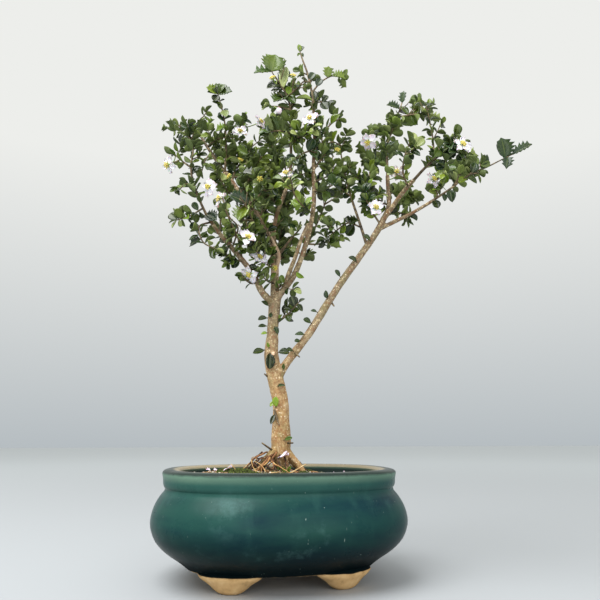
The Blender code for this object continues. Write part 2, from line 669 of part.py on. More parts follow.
def make_leaves(stems, twigs, thicket, own_tree, draw):
    """Leaves for one leafy branch, each tried a few times until it meets nothing."""
    placed = []
    for (route, radii), (_, count, size, spines) in zip(stems, twigs):
        for seat in leaf_seats(route, radii, round(count * LEAF_SHARE), draw):
            spiny = draw.random() < spines
            length = size * MM * draw.uniform(0.8, 1.1) * (TIP_LEAF if seat[0] == route[-1] else 1)
            for attempt in range(14):
                made, grown = aimed_leaf(seat, length * 0.97 ** attempt, spiny, draw)
                if not thicket.blocks(*grown) and not thicket.blocks(*made, but=own_tree):
                    thicket.add(*made)
                    placed.append(made)
                    break
    return placed


def petal_mesh(centre, out, facing, length, draw):
    """A clawed petal: narrow at its foot, with a broad waved blade."""
    across = facing.cross(out)
    edge = [(0, 0, 0), *PETAL_EDGE, *[(x, -y, z) for x, y, z in reversed(PETAL_EDGE)]]
    wave = draw.uniform(-0.07, 0.07)
    top = [centre + length * (x * out + y * across + (z + wave * math.copysign(1, y) * (x > 0.6)) * facing)
           + 0.5 * BLADE * facing for x, y, z in edge]
    low = [p - BLADE * facing for p in top]
    count = len(edge)
    faces = [(0, 1, 4), (1, 2, 3, 4)]
    under = [tuple(count + i for i in reversed(f)) for f in faces]
    sides = [(i, count + i, count + (i + 1) % count, (i + 1) % count) for i in range(count)]
    return top + low, faces + under + sides


def make_bloom(name, spot, facing, stems, thicket, petal_finish, stamen_finish):
    draw = random.Random(f"bloom {name} {SEED}")
    centre = traced(spot)
    facing = Vector(facing).normalized()
    anchor = min((p for route, _ in stems for p in route), key=lambda p: (p - centre).length)
    start = trimmed([anchor, centre - 0.004 * facing], STALK_RADIUS, thicket)[0]
    route = [start, start.lerp(centre, 0.5) - 0.002 * facing, centre]
    stalk = tube_object("bloom_" + name, route, (STALK_RADIUS, STALK_RADIUS * 1.3), 4)
    cup = tube_object("cup", [centre - 0.0008 * facing, centre + 0.0006 * facing],
                      (0.0017, 0.0020), 5)
    side = facing.orthogonal().normalized()
    other = facing.cross(side)
    petals = []
    for k in range(PETAL_COUNT):
        angle = 2 * math.pi * (k + draw.uniform(-0.07, 0.07)) / PETAL_COUNT
        out = math.cos(angle) * side + math.sin(angle) * other
        petals.append(petal_mesh(centre + 0.0007 * out, out, facing, PETAL_LENGTH, draw))
    boolean(stalk, [cup, leaf_object("petals", petals)], "UNION")
    stalk.data.materials.append(petal_finish)
    thicket.add_object(stalk)

    bm = bmesh.new()
    rings = []
    for rise, radius in ((0, STAMEN_RADIUS * 0.7), (1, STAMEN_RADIUS)):
        ring = []
        for k in range(10):
            angle = 2 * math.pi * k / 10
            reach = radius * (1.0 if k % 2 else 0.6)
            at = centre + (0.0006 + CLEAR + rise * STAMEN_HEIGHT) * facing
            ring.append(bm.verts.new(at + reach * (math.cos(angle) * side + math.sin(angle) * other)))
        rings.append(ring)
    skin_rings(bm, rings)
    stamens = add_object("stamens_" + name, bm, stamen_finish)
    thicket.add_object(stamens)


def make_sprays(wood, soil, pot, finishes):
    """All leafy branches and flowers: every stem first, then the flowers, then the leaves."""
    thicket = Thicket()
    for obj in (wood, soil, pot):
        thicket.add_object(obj)
    stems = {}
    for name, twigs in SPRAYS.items():
        stems[name] = spray_stems(twigs, thicket)
    sprays = {}
    for name, twigs in SPRAYS.items():
        base, *rest = [tube_object("spray_" + name, route, radii, TWIG_SIDES)
                       for route, radii in stems[name]]
        boolean(base, rest, "UNION")
        sprays[name] = base
    own_trees = {}
    for name, base in sprays.items():
        own_trees[name] = len(thicket.trees)
        thicket.add_object(base)
    every_stem = [stem for made in stems.values() for stem in made]
    for name, (spot, facing) in BLOOMS.items():
        make_bloom(name, spot, facing, every_stem, thicket, finishes["petal"], finishes["stamen"])
    for name, base in sprays.items():
        draw = random.Random(f"{name} {SEED}")
        leaves = make_leaves(stems[name], SPRAYS[name], thicket, own_trees[name], draw)
        boolean(base, [leaf_object("leaves", leaves)], "UNION")
        base.data.materials.append(finishes["leaf"])


def centre_everything():
    """Parent all nodes to one empty and set it so that their common box stands on z = 0, centred."""
    bpy.context.view_layer.update()
    nodes = [obj for obj in bpy.context.scene.objects if obj.type == "MESH"]
    corners = [obj.matrix_world @ v.co for obj in nodes for v in obj.data.vertices]
    bonsai = bpy.data.objects.new("bonsai", None)
    bpy.context.scene.collection.objects.link(bonsai)
    for obj in nodes:
        obj.parent = bonsai
    for axis in (0, 1):
        values = [c[axis] for c in corners]
        bonsai.location[axis] = -(min(values) + max(values)) / 2
    bonsai.location[2] = -min(c.z for c in corners)


def main():
    clear_scene()
    finishes = {
        "glaze": material("teal glazed stoneware", (0.028, 0.105, 0.095), 0.25),
        "soil": material("grit and bark soil", (0.09, 0.065, 0.045), 0.95),
        "bark": material("tan bark", (0.40, 0.29, 0.17), 0.85),
        "leaf": material("holly leaf", (0.055, 0.105, 0.028), 0.45),
        "petal": material("white petal", (0.85, 0.80, 0.84), 0.6),
        "stamen": material("yellow stamens", (0.75, 0.52, 0.06), 0.7),
        "screen": material("drainage mesh", (0.02, 0.02, 0.02), 0.6),
    }
    pot = make_pot(finishes["glaze"])
    make_screen("drain_screen_left", -1, finishes["screen"])
    make_screen("drain_screen_right", 1, finishes["screen"])
    wood = make_wood(finishes["bark"])
    soil = make_soil(finishes["soil"])
    dig_hole(soil)
    make_sprays(wood, soil, pot, finishes)
    centre_everything()


main()
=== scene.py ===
# A flowering singapore holly bonsai in a teal oval pot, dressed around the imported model. Metres, +Z up.
import math
import random
from collections import namedtuple
from functools import partial

import bmesh
import bpy
from mathutils import Matrix, Vector, noise
from mathutils.bvhtree import BVHTree
from mathutils.kdtree import KDTree


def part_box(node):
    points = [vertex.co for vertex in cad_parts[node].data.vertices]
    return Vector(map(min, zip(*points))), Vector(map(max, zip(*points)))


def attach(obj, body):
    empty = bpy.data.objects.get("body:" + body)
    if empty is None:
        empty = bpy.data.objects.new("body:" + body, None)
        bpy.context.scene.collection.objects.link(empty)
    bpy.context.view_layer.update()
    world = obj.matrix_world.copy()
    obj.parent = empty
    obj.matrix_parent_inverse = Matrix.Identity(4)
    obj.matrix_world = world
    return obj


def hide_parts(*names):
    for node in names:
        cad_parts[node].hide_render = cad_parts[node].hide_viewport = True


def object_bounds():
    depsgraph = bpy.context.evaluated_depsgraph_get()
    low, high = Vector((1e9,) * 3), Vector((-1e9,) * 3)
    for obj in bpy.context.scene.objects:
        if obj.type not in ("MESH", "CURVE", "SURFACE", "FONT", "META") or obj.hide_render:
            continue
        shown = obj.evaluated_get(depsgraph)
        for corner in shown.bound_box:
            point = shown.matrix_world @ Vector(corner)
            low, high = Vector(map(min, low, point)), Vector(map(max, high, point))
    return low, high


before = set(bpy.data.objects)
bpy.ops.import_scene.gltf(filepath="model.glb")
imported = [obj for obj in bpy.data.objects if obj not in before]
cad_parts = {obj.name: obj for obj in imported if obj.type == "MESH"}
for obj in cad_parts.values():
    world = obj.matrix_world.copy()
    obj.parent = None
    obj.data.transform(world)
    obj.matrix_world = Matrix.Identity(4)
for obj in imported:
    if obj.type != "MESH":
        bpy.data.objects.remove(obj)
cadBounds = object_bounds()
mm = 0.001
anyWay = 6.28           # radians, how far round a scattered thing may be turned
print("frame loaded,", len(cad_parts), "nodes")

shot = {
    "distance": 0.593,      # from the lens to the trunk
    "height": 0.1361,
    "pitch": 6.5,           # degrees, looking up
    "turn": 11,             # degrees that the pot stands turned from the view
    "potAside": -0.020,
    "focal": 600,           # in pixels of the 600 x 600 frame
    "axis": (300, 366),
}
potLow, potHigh = (Vector(corner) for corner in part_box("pot"))
potMiddle = Vector(((potLow.x + potHigh.x) / 2, (potLow.y + potHigh.y) / 2, 0))
viewTurn = Matrix.Rotation(math.radians(-shot["turn"]), 3, "Z")


def traced(spot):
    # a pixel of the photograph with its depth in mm behind the trunk, as a place in the frame
    pitch = math.radians(shot["pitch"])
    across = (spot[0] - shot["axis"][0]) / shot["focal"]
    rise = (shot["axis"][1] - spot[1]) / shot["focal"]
    forward = math.cos(pitch) - rise * math.sin(pitch)
    upward = math.sin(pitch) + rise * math.cos(pitch)
    reach = (shot["distance"] + spot[2] * mm) / forward
    seen = Vector((across * reach - shot["potAside"], spot[2] * mm, shot["height"] + upward * reach))
    return viewTurn @ seen + potMiddle


def seenAt(place):
    # the pixel that a place shows at, and its distance from the lens
    local = viewTurn.inverted() @ (Vector(place) - potMiddle)
    local = Vector((local.x + shot["potAside"], local.y + shot["distance"], local.z - shot["height"]))
    pitch = math.radians(shot["pitch"])
    forward = local.y * math.cos(pitch) + local.z * math.sin(pitch)
    upward = local.z * math.cos(pitch) - local.y * math.sin(pitch)
    return (shot["axis"][0] + shot["focal"] * local.x / forward,
            shot["axis"][1] - shot["focal"] * upward / forward, forward)


def placeCamera():
    lens = bpy.data.cameras.new("camera")
    lens.sensor_width = 36
    lens.lens = 36 * shot["focal"] / 600
    lens.shift_y = (shot["axis"][1] - 300) / 600
    lens.clip_start = 0.01
    camera = linked("camera", lens)
    camera.location = viewTurn @ Vector((-shot["potAside"], -shot["distance"], shot["height"])) + potMiddle
    camera.rotation_euler = (math.radians(90 + shot["pitch"]), 0, math.radians(-shot["turn"]))
    bpy.context.scene.camera = camera
    print("camera placed")


def linear(hexText):
    channels = [int(hexText[i:i + 2], 16) / 255 for i in (1, 3, 5)]
    return (*[c / 12.92 if c <= 0.04045 else ((c + 0.055) / 1.055) ** 2.4 for c in channels], 1.0)


def newMaterial(name, settings):
    # the material, what adds a node to it, and the place on the object that its patterns are laid by
    made = bpy.data.materials.new(name)
    made.use_nodes = True
    tree = made.node_tree
    for socket, value in settings.items():
        tree.nodes["Principled BSDF"].inputs[socket].default_value = value
    add = partial(addNode, tree)
    return made, add, add("TexCoord", output="Object")


def addNode(tree, kind, inputs=(), stops=(), output=None, **settings):
    # adds a node and gives back its first output or the named one; inputs are given by name, or in the
    # order of the sockets that the node shows, and a text is a colour
    made = tree.nodes.new("ShaderNode" + kind)
    for name, value in settings.items():
        setattr(made, name, value)
    if isinstance(inputs, dict):
        pairs = [(made.inputs[name], value) for name, value in inputs.items()]
    else:
        pairs = zip([socket for socket in made.inputs if socket.enabled], inputs)
    for socket, value in pairs:
        if isinstance(value, bpy.types.NodeSocket):
            tree.links.new(value, socket)
        else:
            socket.default_value = linear(value) if isinstance(value, str) else value
    for place, (at, colour) in enumerate(stops):
        ramp = made.color_ramp.elements
        stop = ramp[place] if place < 2 else ramp.new(at)
        stop.position = at
        stop.color = linear(colour)
    return made.outputs[output] if output else next(socket for socket in made.outputs if socket.enabled)


def finished(made, colour, roughness=None, height=None, strength=0.3, depth=0.001):
    # joins the last nodes of a material to its shader, with the height as a bump
    tree = made.node_tree
    bump = height and addNode(tree, "Bump", {"Height": height, "Strength": strength, "Distance": depth})
    for socket, source in (("Base Color", colour), ("Roughness", roughness), ("Normal", bump)):
        if source:
            tree.links.new(source, tree.nodes["Principled BSDF"].inputs[socket])
    return made


def written(name, bm):
    mesh = bpy.data.meshes.new(name)
    bm.to_mesh(mesh)
    bm.free()
    return mesh


def linked(name, data):
    made = bpy.data.objects.new(name, data)
    bpy.context.scene.collection.objects.link(made)
    return made


def solidOf(bm):
    return linked("solid", written("solid", bm))


def shapeOf(mesh):
    # corners and faces, as a search tree takes them
    return [vert.co.copy() for vert in mesh.vertices], [tuple(face.vertices) for face in mesh.polygons]


def boxOf(places):
    return [min(p[i] for p in places) for i in range(3)], [max(p[i] for p in places) for i in range(3)]


def nearest(places, aim):
    return min(places, key=lambda place: (place - aim).length)


def faceOut(bm):
    bmesh.ops.recalc_face_normals(bm, faces=bm.faces)


def giveFinish(bm, number):
    # every face so far takes the piece's first (0) or second (1) material
    for face in bm.faces:
        face.material_index = number


def placed(at, x, y, z):
    return Matrix.Translation(at) @ Matrix((x, y, z)).transposed().to_4x4()


def keepPiece(name, bm, materials, nodes=(), smooth=True):
    # writes the mesh, hangs it on the frame and says which nodes it stands for
    for face in bm.faces:
        face.smooth = smooth
    piece = linked(name, written(name, bm))
    for finish in materials:
        piece.data.materials.append(finish)
    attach(piece, "root")
    if nodes:
        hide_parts(*nodes)
    return piece


def smoothRoute(points, perSpan):
    # a curve through all the points
    ends = [2 * points[0] - points[1], *points, 2 * points[-1] - points[-2]]
    route = []
    for i in range(1, len(ends) - 2):
        a, b, c, d = ends[i - 1:i + 3]
        for step in range(perSpan):
            t = step / perSpan
            route.append(0.5 * (2 * b + (c - a) * t + (2 * a - 5 * b + 4 * c - d) * t * t
                                + (3 * b - a - 3 * c + d) * t ** 3))
    return [*route, points[-1]]


def routeTurns(route):
    # across, over and along at each point, turned as little as possible from one to the next
    across = (route[1] - route[0]).orthogonal().normalized()
    turns = []
    for i in range(len(route)):
        along = (route[min(i + 1, len(route) - 1)] - route[max(i - 1, 0)]).normalized()
        across = (across - across.dot(along) * along).normalized()
        turns.append((across, along.cross(across), along))
    return turns


def stackRings(bm, segments, forms, settle):
    # a closed body: a circle extruded ring after ring, each one settled by its form
    ring = bmesh.ops.create_circle(bm, cap_ends=True, segments=segments, radius=1)["verts"]
    edges = list(dict.fromkeys(edge for vert in ring for edge in vert.link_edges))
    settle(ring, forms[0])
    for form in forms[1:]:
        grown = bmesh.ops.extrude_edge_only(bm, edges=edges)["geom"]
        ring = [part for part in grown if isinstance(part, bmesh.types.BMVert)]
        edges = [part for part in grown if isinstance(part, bmesh.types.BMEdge)]
        settle(ring, form)
    bmesh.ops.contextual_create(bm, geom=edges)


def growTube(bm, route, radii, sides, rounded=False):
    spots = []
    for at, radius, turn in zip(route, radii, routeTurns(route)):
        spots.append(placed(at, *[axis * radius for axis in turn]))
    if rounded:
        spots.append(spots[-1] @ Matrix.Translation((0, 0, 0.5)) @ Matrix.Diagonal((0.75, 0.75, 1, 1)))
    moves = [spots[0]] + [after @ before.inverted() for before, after in zip(spots, spots[1:])]
    stackRings(bm, sides, moves, lambda ring, move: bmesh.ops.transform(bm, matrix=move, verts=ring))


def evenRadii(route, foot, tip):
    return [foot + (tip - foot) * i / (len(route) - 1) for i in range(len(route))]


def setAttribute(faces, layer, value):
    for face in faces:
        for loop in face.loops:
            loop[layer] = value


def pour(part, whole):
    # adds a small bmesh to a large one
    spare = written("spare", part)
    whole.from_mesh(spare)
    bpy.data.meshes.remove(spare)


potForm = {
    "halfLength": 125.7, "halfWidth": 103.6, "squareness": 2.43,    # mm
    "segments": 168,
    "outer": ((36.8, 15.6), (33.6, 18.5), (27.5, 23.5), (17.2, 31.2), (8.6, 41.0), (4.6, 52.6), (4.9, 61.4),
              (7.6, 70.4), (12.2, 78.4), (16.4, 83.6)),             # inset from the widest oval, height
    "baseStep": 3,                                                  # how far further in the underside starts
    "lip": ((16.9, 85.2), (17.1, 86.8), (16.1, 88.2), (15.3, 91.0), (15.1, 95.6), (14.4, 99.4), (14.6, 101.4),
            (16.6, 103.0), (20.5, 103.7), (25.5, 103.6), (29.2, 102.7), (30.8, 100.9)),
    "inner": ((29.6, 93.0), (28.6, 86.1), (17.8, 70.0), (13.0, 52.6), (22.2, 34.0), (42.0, 24.6)),
    "footAt": (50.7, 49.0), "footTurn": 24, "footSides": 44,
    "foot": ((0, 8.3, 5.8), (0.7, 9.7, 7.2), (2.0, 12.4, 8.9), (4.6, 15.8, 10.6), (7.5, 19.0, 12.0),
             (10.2, 23.2, 13.6), (12.5, 27.0, 15.0), (15.2, 29.2, 15.8), (17.0, 27.5, 14.0),
             (19.5, 23.0, 11.0)),                                   # height, half length, half width
    "drainAlong": 40, "drainRadius": 8, "drainSides": 32, "drainDepth": 40,
    "insetFrom": 30, "sharpAngle": 38,      # the height that the glaze's inset starts from, and degrees
    "glazeLine": 15.9, "glazeWave": 0.9,                            # height of the bare clay's edge
    # the traced middle of a painted reflection on the belly
    "sheenAt": (232, 516, -92),
}


def ovalReach(angle, inset):
    a = (potForm["halfLength"] - inset) * mm
    b = (potForm["halfWidth"] - inset) * mm
    power = potForm["squareness"]
    return (abs(math.cos(angle) / a) ** power + abs(math.sin(angle) / b) ** power) ** (-1 / power)


def settleRing(ring, form):
    inset, height, shrink = (*form, 1.0)[:3]
    for vert in ring:
        angle = math.atan2(vert.co.y, vert.co.x)
        reach = ovalReach(angle, inset) * shrink
        x, y = reach * math.cos(angle), reach * math.sin(angle)
        vert.co = (x, y, height(x, y) if callable(height) else height * mm)


def ovalBody(bm, rings, segments):
    # rings of inset, height and, where one is given, how much it shrinks
    stackRings(bm, segments, rings, settleRing)
    faceOut(bm)


def combine(base, others, operation):
    # joins closed solids to the first one, or cuts them from it
    group = bpy.data.collections.new("group")
    bpy.context.scene.collection.children.link(group)
    for other in others:
        bpy.context.scene.collection.objects.unlink(other)
        group.objects.link(other)
    change = base.modifiers.new("change", "BOOLEAN")
    change.operand_type = "COLLECTION"
    change.collection = group
    change.operation = operation
    change.solver = "MANIFOLD"
    base.data = appliedMesh(base)
    for other in others:
        bpy.data.objects.remove(other)
    bpy.data.collections.remove(group)


def appliedMesh(made):
    graph = bpy.context.evaluated_depsgraph_get()
    mesh = bpy.data.meshes.new_from_object(made.evaluated_get(graph))
    made.modifiers.clear()
    return mesh


def glazedStoneware():
    # stoneware, thrown and dipped: a teal glaze, painted almost black low down as shade, tan on the lip's
    # inner edge, and feet of bare clay
    made, add, place = newMaterial("dipped teal glaze on stoneware",
                                   {"IOR": 1.45, "Roughness": 0.3, "Specular IOR Level": 0.09})
    parts = add("SeparateXYZ", [place]).node.outputs
    thrown = add("Mapping", {"Vector": place, "Scale": (1 / 0.10, 1 / 0.10, 1 / 0.030)})
    cloud = add("TexNoise", {"Vector": thrown, "Scale": 1, "Detail": 5, "Roughness": 0.55,
                "Distortion": 0.4})
    body = add("ValToRGB", [cloud], ((0.34, "#0d2b33"), (0.50, "#173938"), (0.66, "#1f433d")))
    # the glaze runs down in upright streaks; the lower wall is painted almost black as shade where it turns
    # under
    drawn = add("Mapping", {"Vector": place, "Scale": (1 / 0.014, 1 / 0.014, 1 / 0.070)})
    streak = add("TexNoise", [drawn, 1, 3])
    low = add("MapRange", [parts["Z"], 0.019, 0.062, 0.98, 0], interpolation_type="SMOOTHSTEP")
    shadedLow = add("Mix", [low, body, "#010e11"], data_type="RGBA")
    streaks = add("MapRange", [streak, 0.52, 0.78, 0, 0.22])
    high = add("MapRange", [parts["Z"], 0.030, 0.075])
    running = add("Math", [streaks, high], operation="MULTIPLY")
    streaked = add("Mix", [running, shadedLow, "#3a665b"], data_type="RGBA")
    # milky bloom left by hard water, in soft patches a thumb wide with broken edges, and a painted
    # reflection: one broader pale patch with broken edges on the upper left of the belly
    bloom = add("TexNoise", [place, 1 / 0.026, 8, 0.7])
    milk = add("MapRange", [bloom, 0.58, 0.78, 0, 0.22])
    away = add("VectorMath", [place, traced(potForm["sheenAt"])], operation="DISTANCE")
    near = add("MapRange", [away, 0.026, 0.008, 0, 1], interpolation_type="SMOOTHSTEP")
    torn = add("MapRange", [bloom, 0.42, 0.66, 0.05, 0.5])
    patch = add("Math", [near, torn], operation="MULTIPLY")
    milkAndSheen = add("Math", [milk, patch], operation="MAXIMUM")
    milky = add("Mix", [milkAndSheen, streaked, "#5f8583"], data_type="RGBA")
    # fine pale scratches where the pot was rubbed
    rubbed = add("Mapping", {"Vector": place, "Rotation": (0.4, 0.9, 0.2),
                 "Scale": (1 / 0.0016, 1 / 0.0016, 1 / 0.014)})
    scratch = add("TexNoise", [rubbed, 1, 1])
    worn = add("MapRange", [scratch, 0.76, 0.82, 0, 0.55])
    scratched = add("Mix", [worn, milky, "#a9bcb3"], data_type="RGBA")
    # a painted highlight: pale green along the rounded upper edge of the rim, where the glaze also runs
    # thinner
    bandHighlight = add("MapRange", [parts["Z"], 0.0925, 0.0995, 0, 1.15], interpolation_type="SMOOTHSTEP")
    patchyHighlight = add("Math", [bandHighlight, cloud], operation="MULTIPLY")
    neck = add("MapRange", [parts["Z"], 0.080, 0.087, 0, 0.30])
    necked = add("Mix", [neck, scratched, "#3f6b60"], data_type="RGBA")
    highlightedBand = add("Mix", [patchyHighlight, necked, "#6b8976"], data_type="RGBA")
    # the lip is dark grey-green over its top and tan on its inner edge
    inset = add("Attribute", attribute_name="inset", output="Fac")
    rough = add("TexNoise", [place, 1 / 0.006, 4])
    lipHeight = add("Math", [rough, 0.0012, parts["Z"]], operation="MULTIPLY_ADD")
    lip = add("MapRange", [lipHeight, 0.1003, 0.1024, 0, 0.95])
    lipInset = add("Math", [rough, 4, inset], operation="MULTIPLY_ADD")
    inward = add("MapRange", [lipInset, 25.5, 29])
    lipTone = add("Mix", [inward, "#212b28", "#8f836a"], data_type="RGBA")
    lipped = add("Mix", [lip, highlightedBand, lipTone], data_type="RGBA")
    # the inner wall under the lip is dark grey-green
    inside = add("MapRange", [inset, 28.2, 29.2])
    below = add("MapRange", [parts["Z"], 0.1015, 0.0985])
    within = add("Math", [inside, below], operation="MULTIPLY")
    lined = add("Mix", [within, lipped, "#2c3a38"], data_type="RGBA")
    # the clay of the feet: smooth, with a few damp stains and iron specks
    grog = add("TexNoise", [place, 1 / 0.009, 6, 0.6])
    clay = add("ValToRGB", [grog], ((0.28, "#a8875a"), (0.45, "#c9a472"), (0.60, "#d3b07e"),
               (0.78, "#dcbf92")))
    edgeNoise = add("TexNoise", [place, 1 / 0.018, 2])
    edge = add("Math", [edgeNoise, -2 * potForm["glazeWave"] * mm, parts["Z"]], operation="MULTIPLY_ADD")
    line = (potForm["glazeLine"] - potForm["glazeWave"]) * mm
    bare = add("MapRange", [edge, line, line - 0.0004, 0, 1])
    colour = add("Mix", [bare, lined, clay], data_type="RGBA")
    gloss = add("MapRange", [bloom, 0.35, 0.7, 0.24, 0.42])
    dulled = add("MapRange", [parts["Z"], 0.030, 0.018, 0, 0.4])
    dry = add("Math", [gloss, dulled], operation="ADD")
    roughness = add("Mix", [bare, dry, 0.92])
    skin = add("TexNoise", [place, 1 / 0.012, 2])
    height = add("Mix", [bare, skin, grog])
    return finished(made, colour, roughness, height, strength=0.18, depth=0.0008)


def settleFoot(ring, step):
    # height, half length and half width
    for vert in ring:
        flat = Vector((vert.co.x / step.y, vert.co.y / step.z)).normalized()
        vert.co = (flat.x * step.y * mm, flat.y * step.z * mm, step.x * mm)


def hollowDrum():
    # the pot's wall: up the outside, over the lip and down the inside
    bm = bmesh.new()
    wall = smoothRoute([Vector((*step, 0)) for step in potForm["outer"]], 3)
    lip = smoothRoute([Vector((*step, 0)) for step in potForm["lip"]], 2)
    inset, height = potForm["outer"][0]
    rings = [(inset + potForm["baseStep"], height)]
    rings += [(step.x, step.y) for step in [*wall, *lip]] + list(potForm["inner"])
    ovalBody(bm, rings, potForm["segments"])
    return solidOf(bm)


def footSolid(along, over):
    # a foot under one quarter of the pot, turned along its wall
    bm = bmesh.new()
    steps = smoothRoute([Vector(step) for step in potForm["foot"]], 2)
    stackRings(bm, potForm["footSides"], steps, settleFoot)
    turn = Matrix.Rotation(math.radians(-along * over * potForm["footTurn"]), 4, "Z")
    at = Matrix.Translation((along * potForm["footAt"][0] * mm, over * potForm["footAt"][1] * mm, 0))
    bmesh.ops.transform(bm, matrix=at @ turn, verts=bm.verts)
    faceOut(bm)
    return solidOf(bm)


def drainSolid(side):
    bm = bmesh.new()
    radius, depth = potForm["drainRadius"] * mm, potForm["drainDepth"] * mm
    bmesh.ops.create_cone(bm, cap_ends=True, segments=potForm["drainSides"], depth=depth,
                          radius1=radius, radius2=radius)
    bmesh.ops.translate(bm, vec=(side * potForm["drainAlong"] * mm, 0, depth / 2), verts=bm.verts)
    return solidOf(bm)


def buildPot():
    pot = hollowDrum()
    combine(pot, [footSolid(along, over) for along in (-1, 1) for over in (-1, 1)], "UNION")
    combine(pot, [drainSolid(side) for side in (-1, 1)], "DIFFERENCE")
    bm = bmesh.new()
    bm.from_mesh(pot.data)
    bpy.data.objects.remove(pot)
    insetLayer = bm.verts.layers.float.new("inset")
    for vert in bm.verts:
        angle = math.atan2(vert.co.y, vert.co.x)
        above = vert.co.z > potForm["insetFrom"] * mm
        vert[insetLayer] = (ovalReach(angle, 0) - vert.co.xy.length) / mm if above else 0
    bmesh.ops.translate(bm, vec=potMiddle, verts=bm.verts)
    piece = keepPiece("glazed_pot", bm, [glazedStoneware()], ["pot"])
    piece.data.set_sharp_from_angle(angle=math.radians(potForm["sharpAngle"]))
    print("pot built,", len(piece.data.polygons), "faces")
    return piece


def mouldedMesh():
    # polypropylene drainage mesh, injection moulded: near black, satin, with a fine orange-peel skin
    made, add, place = newMaterial("moulded polypropylene mesh", {"IOR": 1.49, "Roughness": 0.5})
    dust = add("TexNoise", [place, 1 / 0.003, 6])
    colour = add("ValToRGB", [dust], ((0.45, "#15171a"), (0.7, "#4a4036")))
    roughness = add("MapRange", [dust, 0, 1, 0.4, 0.85])
    return finished(made, colour, roughness, dust, strength=0.2, depth=0.0002)


def dressScreens():
    finish = mouldedMesh()
    for name in ("drain_screen_left", "drain_screen_right"):
        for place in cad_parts[name].material_slots:
            place.material = finish
    print("drain screens finished")


soilForm = {
    "gap": 0.6,                        # mm between the soil and the pot's inner face
    "floor": 26.2,
    "inset": 31.6, "litterInset": 31.4,    # of the soil's edge, and of what lies scattered on it
    "edge": 92.5, "leftRise": 2.5,     # height at the wall, and how much higher the left end stands
    "mound": 8.5, "moundAt": (-12, 0), "moundSpread": 45,
    "rings": 44, "segments": 200,
    "clods": ((14, 1.3), (5, 0.6)), "clodSlice": 3.7,    # size and height of the unevenness
}


def soilHeight(x, y):
    # the smooth surface, beside the pot's middle
    away = math.hypot(x - soilForm["moundAt"][0] * mm, y - soilForm["moundAt"][1] * mm)
    mound = soilForm["mound"] * math.exp(-0.5 * (away / (soilForm["moundSpread"] * mm)) ** 2)
    left = soilForm["leftRise"] * max(0.0, -x) / (potForm["halfLength"] * mm)
    return (soilForm["edge"] + left + mound) * mm


def groundHeight(x, y):
    # the uneven surface that everything on the soil lies on
    inside = 1 - math.hypot(x, y) / ovalReach(math.atan2(y, x), soilForm["inset"])
    spot = Vector((x, y, soilForm["clodSlice"]))
    rough = sum(size * mm * noise.noise(spot / (width * mm)) for width, size in soilForm["clods"])
    return soilHeight(x, y) + rough * min(1.0, inside * 6)


def onGround(x, y):
    return potMiddle + Vector((x, y, groundHeight(x, y)))


def groundUnder(place):
    local = place - potMiddle
    return groundHeight(local.x, local.y)


def pottingSoil():
    # akadama, pumice and bark fines, damp and packed: dark brown with pale and rusty crumbs
    made, add, place = newMaterial("packed bonsai soil", {"IOR": 1.45, "Roughness": 0.95})
    crumbs = add("TexVoronoi", [place, 1 / 0.0022])
    tint = add("SeparateColor", [crumbs.node.outputs["Color"]])
    colour = add("ValToRGB", [tint], ((0, "#2e251c"), (0.45, "#4b3b2a"), (0.75, "#6f5a40"),
                 (0.96, "#b7a98c")))
    damp = add("TexNoise", [place, 1 / 0.03, 3])
    dark = add("MapRange", [damp, 0.4, 0.65, 0, 0.5])
    wet = add("Mix", [dark, colour, "#2a2119"], data_type="RGBA")
    return finished(made, wet, None, crumbs, strength=0.9, depth=0.0015)


def buildSoil():
    bm = bmesh.new()
    gap, floor, steps = soilForm["gap"], soilForm["floor"], soilForm["rings"]
    rings = [(inset + gap, max(height, floor)) for inset, height in reversed(potForm["inner"])]
    rings += [(soilForm["inset"], groundHeight, 1 - (i / steps) ** 1.1) for i in range(steps)]
    ovalBody(bm, rings, soilForm["segments"])
    bmesh.ops.translate(bm, vec=potMiddle, verts=bm.verts)
    piece = keepPiece("planted_soil", bm, [pottingSoil()], ["soil"])
    print("soil laid,", len(piece.data.polygons), "faces")
    return piece


